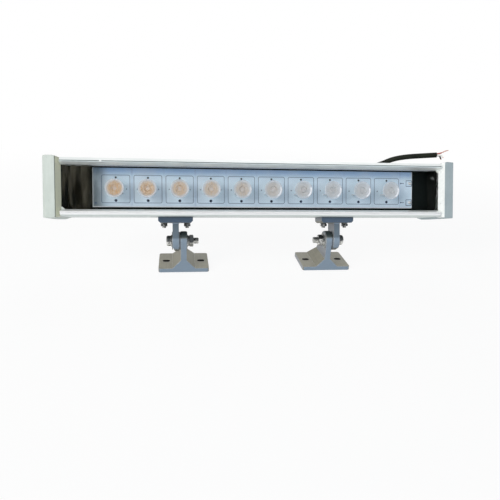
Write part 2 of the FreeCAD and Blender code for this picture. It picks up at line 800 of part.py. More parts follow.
def board_leads():
    """Two leads from the driver, through the web, to the back of the board."""
    driver_end = driver_middle() + DRIVER_LENGTH / 2
    depth = web_back + DRIVER_DEPTH / 2
    wires = []
    for x, z in board_lead_places():
        wires.append(tube("board lead", [
            (driver_end, depth, z),
            (x, depth, z),
            (x, BOARD_THICKNESS, z),
        ], BOARD_LEAD))
    return Part.makeCompound(wires)


# ---------------------------------------------------------------- gland and cable

def along_gland(depth):
    """Point on the gland's axis at a depth behind the board's face."""
    return Vector(GLAND_OFFSET, depth, gland_height)


def gland_base():
    """Depth at which the gland's hexagon starts."""
    return rear_wall + GLAND_WASHER_HEIGHT


def gland_nut_start():
    """Depth at which the dome nut starts."""
    return gland_base() + GLAND_HEX_HEIGHT + GLAND_NUT_GAP


def gland_nut_end():
    """Depth of the dome nut's mouth, where the free cable starts."""
    return gland_nut_start() + GLAND_NUT_HEIGHT


def gland_washer():
    """Sealing ring under the gland."""
    ring = cylinder(GLAND_HEX, along_gland(rear_wall), along_gland(gland_base()))
    hole = cylinder(
        GLAND_THREAD + 2 * CABLE_PLAY, along_gland(rear_wall), along_gland(gland_base()),
    )
    return ring.cut(hole)


def gland_body():
    """Threaded sleeve with a hexagon."""
    inner_end = chamber_back - GLAND_LOCKNUT_HEIGHT - GLAND_THREAD_END
    hex_end = gland_base() + GLAND_HEX_HEIGHT
    stub_end = hex_end + GLAND_STUB_HEIGHT
    body = united([
        hexagon(GLAND_HEX, along_gland(gland_base()), along_gland(hex_end)),
        cylinder(GLAND_THREAD, along_gland(inner_end), along_gland(gland_base())),
        cylinder(GLAND_STUB, along_gland(hex_end), along_gland(stub_end)),
    ])
    bore = cylinder(
        CABLE + 2 * GLAND_SLEEVE_WALL + 2 * CABLE_PLAY,
        along_gland(inner_end),
        along_gland(stub_end),
    )
    return body.cut(bore)


def gland_sleeve():
    """Rubber sleeve that grips the cable."""
    start = gland_base()
    end = gland_base() + GLAND_HEX_HEIGHT + GLAND_STUB_HEIGHT
    sleeve = cylinder(CABLE + 2 * GLAND_SLEEVE_WALL, along_gland(start), along_gland(end))
    bore = cylinder(CABLE + 2 * CABLE_PLAY, along_gland(start), along_gland(end))
    return sleeve.cut(bore)


def gland_nut():
    """Dome nut: hexagon that rounds off to the cable's mouth."""
    start = gland_nut_start()
    end = gland_nut_end()
    stub_end = gland_base() + GLAND_HEX_HEIGHT + GLAND_STUB_HEIGHT
    hexed = hexagon(GLAND_HEX, along_gland(start), along_gland(end))
    dome = turned([
        (0, 0),
        (GLAND_HEX, 0),
        (GLAND_HEX, GLAND_NUT_FLATS),
        (GLAND_HEX / 2, GLAND_NUT_SHOULDER),
        (GLAND_NUT_NECK_DIAMETER / 2, GLAND_NUT_NECK),
        (GLAND_MOUTH / 2, GLAND_NUT_HEIGHT),
        (0, GLAND_NUT_HEIGHT),
    ], along_gland(start), Vector(0, 1, 0))
    thread = cylinder(
        GLAND_STUB + 2 * CABLE_PLAY, along_gland(start), along_gland(stub_end + CABLE_PLAY),
    )
    bore = cylinder(CABLE + 2 * CABLE_PLAY, along_gland(start), along_gland(end))
    return hexed.common(dome).cut([thread, bore])


def gland_locknut():
    """Thin nut inside the rear wall."""
    start = chamber_back - GLAND_LOCKNUT_HEIGHT
    nut = hexagon(GLAND_HEX, along_gland(start), along_gland(chamber_back))
    return nut.cut(cylinder(
        GLAND_THREAD + 2 * CABLE_PLAY, along_gland(start), along_gland(chamber_back),
    ))


def sheath_end():
    """Depth at which the sheath is cut back inside the housing."""
    return chamber_back - SHEATH_END


def inner_cable():
    """Sheathed cable inside the gland."""
    return cylinder(CABLE, along_gland(sheath_end()), along_gland(gland_nut_end()))


def driver_input():
    """Three cores from the cut sheath to the driver's end."""
    driver_start = driver_middle() - DRIVER_LENGTH / 2
    depth = web_back + DRIVER_DEPTH / 2
    cores = []
    for x, z in spread():
        start = along_gland(sheath_end()) + Vector(x, 0, z)
        bend = start.x + INNER_BEND * (driver_start - start.x)
        cores.append(tube("driver core", [
            tuple(start),
            (start.x, start.y - INNER_STRAIGHT, start.z),
            (bend, depth, start.z),
            (driver_start, depth, start.z),
        ], CORE))
    return Part.makeCompound(cores)


def spread():
    """Offsets of the three cores round the cable's centre line."""
    places = []
    for index in range(3):
        angle = math.radians(90 + 120 * index)
        places.append((CORE_SPREAD * math.cos(angle), CORE_SPREAD * math.sin(angle)))
    return places


def cable_route():
    """Route of the free cable in the lamp's frame."""
    mouth = along_gland(gland_nut_end())
    return [tuple(mouth + Vector(*offset)) for offset in CABLE_ROUTE]


def core_route(index, bends):
    """Route of one bare-ended core beyond the cut jacket."""
    route = cable_route()
    end = Vector(*route[-1])
    heading = (end - Vector(*route[-2])).normalize()
    side = heading.cross(Vector(0, 0, 1)).normalize()
    rise = side.cross(heading)
    across, up = spread()[index]
    start = end + side * across + rise * up
    straight = start + heading * CORE_STRAIGHT
    return [tuple(start), tuple(straight)] + [tuple(start + Vector(*bend)) for bend in bends]


# ---------------------------------------------------------------- brackets

def pivot_point(x):
    """Point on the tilt axis, in the lamp's frame."""
    return Vector(x, TILT_AXIS_DEPTH, -TILT_AXIS_DROP)


def toothed_ring(centre, height, facing):
    """Ring with radial teeth on its face, standing on a stem's side."""
    axis = Vector(facing, 0, 0)
    outer = Part.makeCylinder(RING_DIAMETER / 2, height, centre, axis)
    crest = centre + axis * height
    half = math.pi * RING_DIAMETER / TOOTH_COUNT / 4
    grooves = []
    for index in range(TOOTH_COUNT):
        wedge = Part.Face(Part.makePolygon([
            crest + Vector(0, -half, PIVOT_BOLT),
            crest + Vector(0, half, PIVOT_BOLT),
            crest + Vector(0, 0, PIVOT_BOLT) - axis * TOOTH_DEPTH,
            crest + Vector(0, -half, PIVOT_BOLT),
        ])).extrude(Vector(0, 0, RING_DIAMETER / 2))
        wedge.rotate(crest, Vector(1, 0, 0), 360 * index / TOOTH_COUNT)
        grooves.append(wedge)
    return outer.cut(grooves)


def tee_bracket():
    """Right tee: flange under the T slot and a stem down to the tilt axis."""
    top = -half_height
    half_stem = TEE_STEM / 2
    front = on_xz(TILT_AXIS_DEPTH - FLANGE_DEPTH / 2)
    inner = tee_offset - FLANGE_WIDTH / 2
    outer = tee_offset + FLANGE_WIDTH / 2
    lowest = -TILT_AXIS_DROP - TEE_END_RADIUS
    section = [
        (inner, top),
        (inner, flange_bottom + FLANGE_CHAMFER),
        (inner + FLANGE_CHAMFER, flange_bottom),
        (tee_offset - half_stem, flange_bottom, TEE_ROOT_RADIUS),
        (tee_offset - half_stem, lowest),
        (tee_offset + half_stem - TEE_END_CHAMFER, lowest),
        (tee_offset + half_stem, lowest + 2 * TEE_END_CHAMFER),
        (tee_offset + half_stem, flange_bottom, TEE_ROOT_RADIUS),
        (outer - FLANGE_CHAMFER, flange_bottom),
        (outer, flange_bottom + FLANGE_CHAMFER),
        (outer, top),
    ]
    blank = prism(section, front, Vector(0, FLANGE_DEPTH, 0))
    radius = TEE_END_RADIUS
    rounding = radius - CROWN_FLAT
    axis = TILT_AXIS_DEPTH
    side = [
        (axis - FLANGE_DEPTH / 2, top),
        (axis - FLANGE_DEPTH / 2, flange_bottom),
        (axis - radius, flange_bottom, TEE_ROOT_RADIUS),
        (axis - radius, -TILT_AXIS_DROP - radius, rounding),
        (axis + radius, -TILT_AXIS_DROP - radius, rounding),
        (axis + radius, flange_bottom, TEE_ROOT_RADIUS),
        (axis + FLANGE_DEPTH / 2, flange_bottom),
        (axis + FLANGE_DEPTH / 2, top),
    ]
    trimmed = blank.common(prism(side, on_yz(inner), Vector(FLANGE_WIDTH, 0, 0)))
    face = tee_offset - half_stem
    back = tee_offset + half_stem
    shape = united([
        trimmed,
        toothed_ring(pivot_point(face), RING_HEIGHT, -1),
        toothed_ring(pivot_point(back), OUTER_RING_HEIGHT, 1),
    ])
    holes = [cylinder(
        PIVOT_BOLT + 2 * BOLT_PLAY,
        pivot_point(face - RING_HEIGHT),
        pivot_point(back + OUTER_RING_HEIGHT),
    )]
    for x in slot_bolt_places():
        holes.append(cylinder(
            SLOT_BOLT + 2 * BOLT_PLAY,
            Vector(x, TILT_AXIS_DEPTH, flange_bottom),
            Vector(x, TILT_AXIS_DEPTH, top),
        ))
    return shape.cut(holes)


def slot_bolt_places():
    """X of the two T-slot bolts of the right bracket."""
    return [tee_offset - SLOT_BOLT_SPACING / 2, tee_offset + SLOT_BOLT_SPACING / 2]


def slot_bolts():
    """Hexagon bolts whose heads sit in the T slot."""
    seat = -half_height + SLOT_FLOOR
    end = flange_bottom - SLOT_SPRING_WASHER - SLOT_NUT_HEIGHT - SLOT_BOLT_END
    bolts = []
    for x in slot_bolt_places():
        head = hexagon(
            SLOT_BOLT_HEAD,
            Vector(x, TILT_AXIS_DEPTH, seat),
            Vector(x, TILT_AXIS_DEPTH, seat + SLOT_BOLT_HEAD_HEIGHT),
        )
        head.rotate(Vector(x, TILT_AXIS_DEPTH, 0), Vector(0, 0, 1), 30)
        shank = cylinder(
            SLOT_BOLT, Vector(x, TILT_AXIS_DEPTH, end), Vector(x, TILT_AXIS_DEPTH, seat),
        )
        bolts.append(united([head, shank]))
    return Part.makeCompound(bolts)


def slot_nuts():
    """Nuts under the flange."""
    top = flange_bottom - SLOT_SPRING_WASHER
    nuts = []
    for x in slot_bolt_places():
        upper = Vector(x, TILT_AXIS_DEPTH, top)
        lower = Vector(x, TILT_AXIS_DEPTH, top - SLOT_NUT_HEIGHT)
        bore = cylinder(SLOT_BOLT + BOLT_PLAY, lower, upper)
        nuts.append(hexagon(SLOT_BOLT_HEAD, lower, upper).cut(bore))
    return Part.makeCompound(nuts)


def slot_washers():
    """Spring washers between flange and nuts."""
    washers = []
    for x in slot_bolt_places():
        upper = Vector(x, TILT_AXIS_DEPTH, flange_bottom)
        lower = upper - Vector(0, 0, SLOT_SPRING_WASHER)
        bore = cylinder(SLOT_BOLT + 2 * BOLT_PLAY, lower, upper)
        washers.append(cylinder(SLOT_BOLT_HEAD, lower, upper).cut(bore))
    return Part.makeCompound(washers)


# ---------------------------------------------------------------- feet (own frame, on the ground)

def foot_axis(x):
    """Point on the tilt axis, in the frame of the feet."""
    return Vector(x, 0, TILT_AXIS_HEIGHT)


def foot():
    """Right foot: plate, gussets and rounded stem, cut to one side profile."""
    front = -FOOT_END_RADIUS
    back = front + PLATE_DEPTH
    half = PLATE_WIDTH / 2
    half_stem = FOOT_STEM / 2
    centre = FOOT_STEM_OFFSET
    top = TILT_AXIS_HEIGHT + FOOT_END_RADIUS
    section = [
        (centre - half, 0),
        (centre + half, 0),
        (centre + half, PLATE_THICKNESS),
        (centre + half_stem + GUSSET, PLATE_THICKNESS),
        (centre + half_stem, PLATE_THICKNESS + GUSSET),
        (centre + half_stem, top),
        (centre - half_stem, top),
        (centre - half_stem, PLATE_THICKNESS + GUSSET),
        (centre - half_stem - GUSSET, PLATE_THICKNESS),
        (centre - half, PLATE_THICKNESS),
    ]
    blank = prism(section, on_xz(front), Vector(0, PLATE_DEPTH, 0))
    shape = blank.common(foot_side_profile(front, back, centre - half))
    rings = [
        toothed_ring(foot_axis(centre + half_stem), RING_HEIGHT, 1),
        toothed_ring(foot_axis(centre - half_stem), OUTER_RING_HEIGHT, -1),
    ]
    shape = united([shape] + rings)
    holes = [cylinder(
        PIVOT_BOLT + 2 * BOLT_PLAY,
        foot_axis(centre - half_stem - OUTER_RING_HEIGHT),
        foot_axis(centre + half_stem + RING_HEIGHT),
    )]
    for side in (1, -1):
        holes.append(anchor_slot(centre + side * ANCHOR_SPACING / 2, (front + back) / 2))
    corners = prism([
        (centre - half, front, PLATE_CORNER_RADIUS),
        (centre + half, front, PLATE_CORNER_RADIUS),
        (centre + half, back, PLATE_CORNER_RADIUS),
        (centre - half, back, PLATE_CORNER_RADIUS),
    ], on_xy(0), Vector(0, 0, top))
    return shape.common(corners).cut(holes)


def foot_side_profile(front, back, start):
    """Side view of a foot: flat plate, slightly hollow flare behind and a round top."""
    radius = FOOT_END_RADIUS
    axis = TILT_AXIS_HEIGHT
    heel_top = Vector(start, back, PLATE_THICKNESS)
    flare_end = Vector(start, radius, axis - FLARE_DROP)
    inward = (flare_end - heel_top).cross(Vector(1, 0, 0)).normalize()
    spots = {
        "heel": Vector(start, back, 0),
        "heel_top": heel_top,
        "flare_middle": (heel_top + flare_end) / 2 + inward * FLARE_HOLLOW,
        "flare_end": flare_end,
        "round_start": Vector(start, radius, axis),
        "crown": Vector(start, 0, axis + radius),
        "round_end": Vector(start, -radius, axis),
        "toe": Vector(start, front, 0),
    }
    edges = [
        Part.LineSegment(spots["toe"], spots["heel"]).toShape(),
        Part.LineSegment(spots["heel"], spots["heel_top"]).toShape(),
        Part.Arc(spots["heel_top"], spots["flare_middle"], spots["flare_end"]).toShape(),
        Part.LineSegment(spots["flare_end"], spots["round_start"]).toShape(),
        Part.Arc(spots["round_start"], spots["crown"], spots["round_end"]).toShape(),
        Part.LineSegment(spots["round_end"], spots["toe"]).toShape(),
    ]
    return Part.Face(Part.Wire(edges)).extrude(Vector(PLATE_WIDTH, 0, 0))


def anchor_slot(x, y):
    """Slotted hole for a fixing screw, long side along X."""
    reach = (ANCHOR_SLOT_LENGTH - ANCHOR_SLOT_WIDTH) / 2
    half = ANCHOR_SLOT_WIDTH / 2
    height = PLATE_THICKNESS + GUSSET
    ends = []
    for side in (1, -1):
        spot = Vector(x + side * reach, y, 0)
        ends.append(cylinder(ANCHOR_SLOT_WIDTH, spot, spot + Vector(0, 0, height)))
    middle = block(x - reach, x + reach, y - half, y + half, 0, height)
    return united(ends + [middle])


def stack():
    """X of every face along the right pivot bolt, from its head to its end."""
    tee_outside = tee_offset + TEE_STEM / 2 + OUTER_RING_HEIGHT
    foot_inside = FOOT_STEM_OFFSET - FOOT_STEM / 2 - OUTER_RING_HEIGHT
    faces = {"head_washer": tee_outside + JOINT_PLAY}
    faces["head_spring"] = faces["head_washer"] + FLAT_WASHER_HEIGHT
    faces["head"] = faces["head_spring"] + SPRING_WASHER_HEIGHT
    faces["head_end"] = faces["head"] + PIVOT_HEAD_HEIGHT
    faces["nut_washer"] = foot_inside
    faces["nut_spring"] = faces["nut_washer"] - FLAT_WASHER_HEIGHT
    faces["nut"] = faces["nut_spring"] - SPRING_WASHER_HEIGHT
    faces["nut_end"] = faces["nut"] - PIVOT_NUT_HEIGHT
    faces["bolt_end"] = faces["nut_end"] - PIVOT_BOLT_END
    return faces


def pivot_bolt():
    """Pan-head bolt through the toothed joint."""
    faces = stack()
    edge = PIVOT_HEAD / 2
    head = turned([
        (0, 0),
        (edge, 0),
        (edge, PIVOT_HEAD_EDGE),
        (PIVOT_HEAD_TOP / 2, PIVOT_HEAD_HEIGHT),
        (0, PIVOT_HEAD_HEIGHT),
    ], foot_axis(faces["head"]), Vector(1, 0, 0))
    shank = cylinder(PIVOT_BOLT, foot_axis(faces["bolt_end"]), foot_axis(faces["head"]))
    floor = faces["head_end"] - PIVOT_SOCKET_DEPTH
    socket = hexagon(PIVOT_SOCKET, foot_axis(floor), foot_axis(faces["head_end"]))
    return united([head, shank]).cut(socket)


def washer(diameter, start, end):
    """Flat ring round the pivot bolt."""
    bore = cylinder(PIVOT_BOLT + 2 * BOLT_PLAY, foot_axis(start), foot_axis(end))
    return cylinder(diameter, foot_axis(start), foot_axis(end)).cut(bore)


def flat_washers():
    """Flat washers under the head and under the nut."""
    faces = stack()
    return Part.makeCompound([
        washer(FLAT_WASHER, faces["head_washer"], faces["head_spring"]),
        washer(FLAT_WASHER, faces["nut_spring"], faces["nut_washer"]),
    ])


def spring_washers():
    """Spring washers, split and slightly narrower than the flat ones."""
    faces = stack()
    rings = []
    for start, end in (("head_spring", "head"), ("nut", "nut_spring")):
        ring = washer(SPRING_WASHER, faces[start], faces[end])
        gap = block(
            faces[start], faces[end],
            -SPRING_WASHER_SPLIT / 2, SPRING_WASHER_SPLIT / 2,
            TILT_AXIS_HEIGHT, TILT_AXIS_HEIGHT + SPRING_WASHER,
        )
        rings.append(ring.cut(gap))
    return Part.makeCompound(rings)


def pivot_nut():
    """Hexagon nut of the pivot bolt."""
    faces = stack()
    start = foot_axis(faces["nut_end"])
    end = foot_axis(faces["nut"])
    return hexagon(PIVOT_NUT, start, end).cut(cylinder(PIVOT_BOLT + BOLT_PLAY, start, end))


# ---------------------------------------------------------------- files

def pair(name, shape, shift=0.0):
    """A right-hand piece and its left-hand mirror image, by name, both moved along X."""
    step = Vector(shift, 0, 0)
    return {
        "right_" + name: shape.translated(step),
        "left_" + name: mirror_side(shape).translated(step),
    }


def lamp_nodes():
    """Housing, glass, optics, driver, gland and cable, in the lamp's frame."""
    nodes = {"housing": housing()}
    nodes.update(pair("cap_gasket", cap_gasket()))
    nodes.update(pair("end_cap", end_cap()))
    nodes.update(pair("cap_screws", cap_screws()))
    nodes["front_glass"] = front_glass()
    nodes["glass_seal"] = glass_seal()
    nodes["board_tray"] = board_tray()
    nodes["led_board"] = led_board()
    nodes["thermal_pad"] = thermal_pad()
    nodes["led_emitters"] = leds()
    for index, x in enumerate(led_places()):
        nodes["lens_%02d" % (index + 1)] = lens(x)
    nodes["driver"] = driver()
    nodes["board_leads"] = board_leads()
    nodes["gland_washer"] = gland_washer()
    nodes["gland_body"] = gland_body()
    nodes["gland_sleeve"] = gland_sleeve()
    nodes["gland_nut"] = gland_nut()
    nodes["gland_locknut"] = gland_locknut()
    nodes["inner_cable"] = inner_cable()
    nodes["driver_input_cores"] = driver_input()
    nodes.update(pair("tee_bracket", tee_bracket(), BRACKET_SHIFT))
    nodes.update(pair("slot_bolts", slot_bolts(), BRACKET_SHIFT))
    nodes.update(pair("slot_washers", slot_washers(), BRACKET_SHIFT))
    nodes.update(pair("slot_nuts", slot_nuts(), BRACKET_SHIFT))
    return nodes


def cable_nodes():
    """Free cable and its bare-ended cores, in the lamp's frame."""
    nodes = {"supply_cable": tube("supply cable", cable_route(), CABLE)}
    for index, (name, bends) in enumerate(CORE_ENDS.items()):
        nodes[name] = tube(name, core_route(index, bends), CORE)
    return nodes


def foot_nodes():
    """Feet and their pivot fasteners, in the frame of the feet."""
    nodes = pair("foot", foot(), BRACKET_SHIFT)
    nodes.update(pair("pivot_bolt", pivot_bolt(), BRACKET_SHIFT))
    nodes.update(pair("flat_washers", flat_washers(), BRACKET_SHIFT))
    nodes.update(pair("spring_washers", spring_washers(), BRACKET_SHIFT))
    nodes.update(pair("pivot_nut", pivot_nut(), BRACKET_SHIFT))
    return nodes


def placed(nodes, placement):
    """The same nodes after a placement."""
    moved = {}
    for name, shape in nodes.items():
        copy = shape.copy()
        copy.Placement = placement.multiply(copy.Placement)
        moved[name] = copy
    return moved


def middle_depth(shapes):
    """Y of the middle of the space that the shapes fill."""
    boxes = [shape.optimalBoundingBox(False) for shape in shapes]
    return (min(box.YMin for box in boxes) + max(box.YMax for box in boxes)) / 2


def save(name, shape):
    """Writes one node as a STEP file."""
    shape.exportStep("parts/%s.step" % name)
    solids = shape.Solids
    sound = all(solid.isValid() for solid in solids)
    print("%s: %d solids, %.0f mm3, valid %s" % (name, len(solids), shape.Volume, sound))


os.makedirs("parts", exist_ok=True)
rigid_nodes = placed(lamp_nodes(), lamp_frame)
rigid_nodes.update(foot_nodes())
loose_nodes = placed(cable_nodes(), lamp_frame)
origin_depth = middle_depth(rigid_nodes.values())
print("tilt axis depth %.4f" % -origin_depth)
to_origin = Placement(Vector(0, -origin_depth, 0), Rotation())
for nodes in (rigid_nodes, loose_nodes):
    for node_name, node_shape in placed(nodes, to_origin).items():
        save(node_name, node_shape)
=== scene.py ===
"""Outdoor wall washer light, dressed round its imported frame.

Lengths in the classes are millimetres. LampFrame places points of the lamp's own upright
frame (X along the profile, Y into its depth from the face of the LED board, Z up from the row
of LEDs) and GroundFrame points of the feet; both give metres in the frame of the model.
"""
from __future__ import annotations

import json
import logging
import math
from dataclasses import dataclass
from enum import Enum
from typing import Any, Callable, Iterable, Sequence, Union

import bmesh
import bpy
import numpy as np
from mathutils import Matrix, Vector

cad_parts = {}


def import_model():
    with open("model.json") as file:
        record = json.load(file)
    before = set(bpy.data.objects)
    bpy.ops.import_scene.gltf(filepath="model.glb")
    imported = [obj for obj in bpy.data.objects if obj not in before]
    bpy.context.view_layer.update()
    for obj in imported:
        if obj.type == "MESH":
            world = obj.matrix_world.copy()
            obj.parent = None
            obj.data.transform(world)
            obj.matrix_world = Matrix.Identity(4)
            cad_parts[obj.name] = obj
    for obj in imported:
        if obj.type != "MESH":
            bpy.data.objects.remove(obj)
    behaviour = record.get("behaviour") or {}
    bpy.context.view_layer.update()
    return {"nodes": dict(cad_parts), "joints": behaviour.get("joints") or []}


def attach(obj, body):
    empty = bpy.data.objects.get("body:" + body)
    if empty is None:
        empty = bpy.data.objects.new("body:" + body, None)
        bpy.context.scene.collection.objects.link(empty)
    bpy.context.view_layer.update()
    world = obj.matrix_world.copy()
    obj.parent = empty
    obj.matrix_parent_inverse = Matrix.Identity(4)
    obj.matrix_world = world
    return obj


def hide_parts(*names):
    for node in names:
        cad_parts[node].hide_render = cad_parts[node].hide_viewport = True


LOG = logging.getLogger("wall_washer")
MM = 0.001
Number = Union["Value", float, int]
Colour = tuple[float, float, float]


# ------------------------------------------------------------------ frames

@dataclass(frozen=True)
class GroundFrame:
    """The frame of the feet: Y from the tilt axis, Z from the ground."""

    axis_y: float
    axis_z: float

    def world(self, points: np.ndarray) -> np.ndarray:
        """Points of this frame in the frame of the model.

        Args:
            points: array of shape (..., 3), millimetres.

        Returns:
            The same points, metres.
        """
        return np.asarray(points, dtype=float) * MM + np.array([0.0, self.axis_y, 0.0])


@dataclass(frozen=True)
class LampFrame:
    """The lamp's upright frame, which leans back about the tilt axis."""

    axis_y: float
    axis_z: float
    lean: float = math.radians(20.0)
    axis_depth: float = 15.0
    axis_drop: float = 62.8

    def world(self, points: np.ndarray) -> np.ndarray:
        """Points of this frame in the frame of the model: shifted so that the tilt axis is the
        origin, turned back by the lean, and moved to the axis.

        Args:
            points: array of shape (..., 3), millimetres.

        Returns:
            The same points, metres.
        """
        spots = np.asarray(points, dtype=float)
        depth = (spots[..., 1] - self.axis_depth) * MM
        height = (spots[..., 2] + self.axis_drop) * MM
        cosine, sine = math.cos(self.lean), math.sin(self.lean)
        return np.stack([
            spots[..., 0] * MM,
            self.axis_y + depth * cosine + height * sine,
            self.axis_z - depth * sine + height * cosine,
        ], axis=-1)

    def depth_row(self) -> tuple[Vector, float]:
        """Vector and constant that turn a model point into this frame's Y, millimetres."""
        row = Vector((0.0, math.cos(self.lean), -math.sin(self.lean))) / MM
        return row, self.axis_depth - row.dot(Vector((0.0, self.axis_y, self.axis_z)))

    def height_row(self) -> tuple[Vector, float]:
        """Vector and constant that turn a model point into this frame's Z, millimetres."""
        row = Vector((0.0, math.sin(self.lean), math.cos(self.lean))) / MM
        return row, -self.axis_drop - row.dot(Vector((0.0, self.axis_y, self.axis_z)))


# ------------------------------------------------------------------ shader maths

class Value:
    """A number that varies over a surface; arithmetic on it adds Math nodes."""

    def __init__(self, sheet: "Sheet", socket: bpy.types.NodeSocket) -> None:
        """Wraps an output socket of a sheet's node."""
        self.sheet = sheet
        self.socket = socket

    def math(self, operation: str, *others: Number) -> "Value":
        """This value put through one Math node.

        Args:
            operation: name of the Math node's operation.
            others: its other inputs.

        Returns:
            The node's result.
        """
        settings = {"operation": operation}
        return self.sheet.node("ShaderNodeMath", settings, (self, *others)).value()

    def __add__(self, other: Number) -> "Value":
        """Sum."""
        return self.math("ADD", other)

    __radd__ = __add__

    def __sub__(self, other: Number) -> "Value":
        """Difference."""
        return self.math("SUBTRACT", other)

    def __rsub__(self, other: Number) -> "Value":
        """Difference, reflected."""
        return self.math("MULTIPLY", -1.0) + other

    def __mul__(self, other: Number) -> "Value":
        """Product."""
        return self.math("MULTIPLY", other)

    __rmul__ = __mul__

    def __truediv__(self, other: Number) -> "Value":
        """Quotient."""
        return self.math("DIVIDE", other)

    def __pow__(self, other: Number) -> "Value":
        """Power."""
        return self.math("POWER", other)

    def __mod__(self, other: Number) -> "Value":
        """Remainder, never negative."""
        return self.math("FLOORED_MODULO", other)

    def __abs__(self) -> "Value":
        """Size without sign."""
        return self.math("ABSOLUTE")

    def __lt__(self, other: Number) -> "Value":
        """1 where this value is below the other."""
        return self.math("LESS_THAN", other)

    def __gt__(self, other: Number) -> "Value":
        """1 where this value is above the other."""
        return self.math("GREATER_THAN", other)

    def most(self, other: Number) -> "Value":
        """The larger of two values."""
        return self.math("MAXIMUM", other)

    def least(self, other: Number) -> "Value":
        """The smaller of two values."""
        return self.math("MINIMUM", other)

    def ramp(self, low: float, high: float) -> "Value":
        """0 below low, 1 above high, and smooth between; high may be the lower one.

        Args:
            low: where the result is 0.
            high: where it is 1.

        Returns:
            the ramped value.
        """
        settings = {"interpolation_type": "SMOOTHSTEP"}
        node = self.sheet.node("ShaderNodeMapRange", settings, {
            "Value": self, "From Min": low, "From Max": high,
        })
        return node.value()


@dataclass
class Placed:
    """A node that has been added to a sheet."""

    sheet: "Sheet"
    raw: bpy.types.Node

    def value(self, output: Union[int, str] = 0) -> Value:
        """One of the node's outputs, as a number."""
        return Value(self.sheet, self.raw.outputs[output])

    def out(self, output: Union[int, str] = 0) -> bpy.types.NodeSocket:
        """One of the node's outputs, as it is."""
        return self.raw.outputs[output]


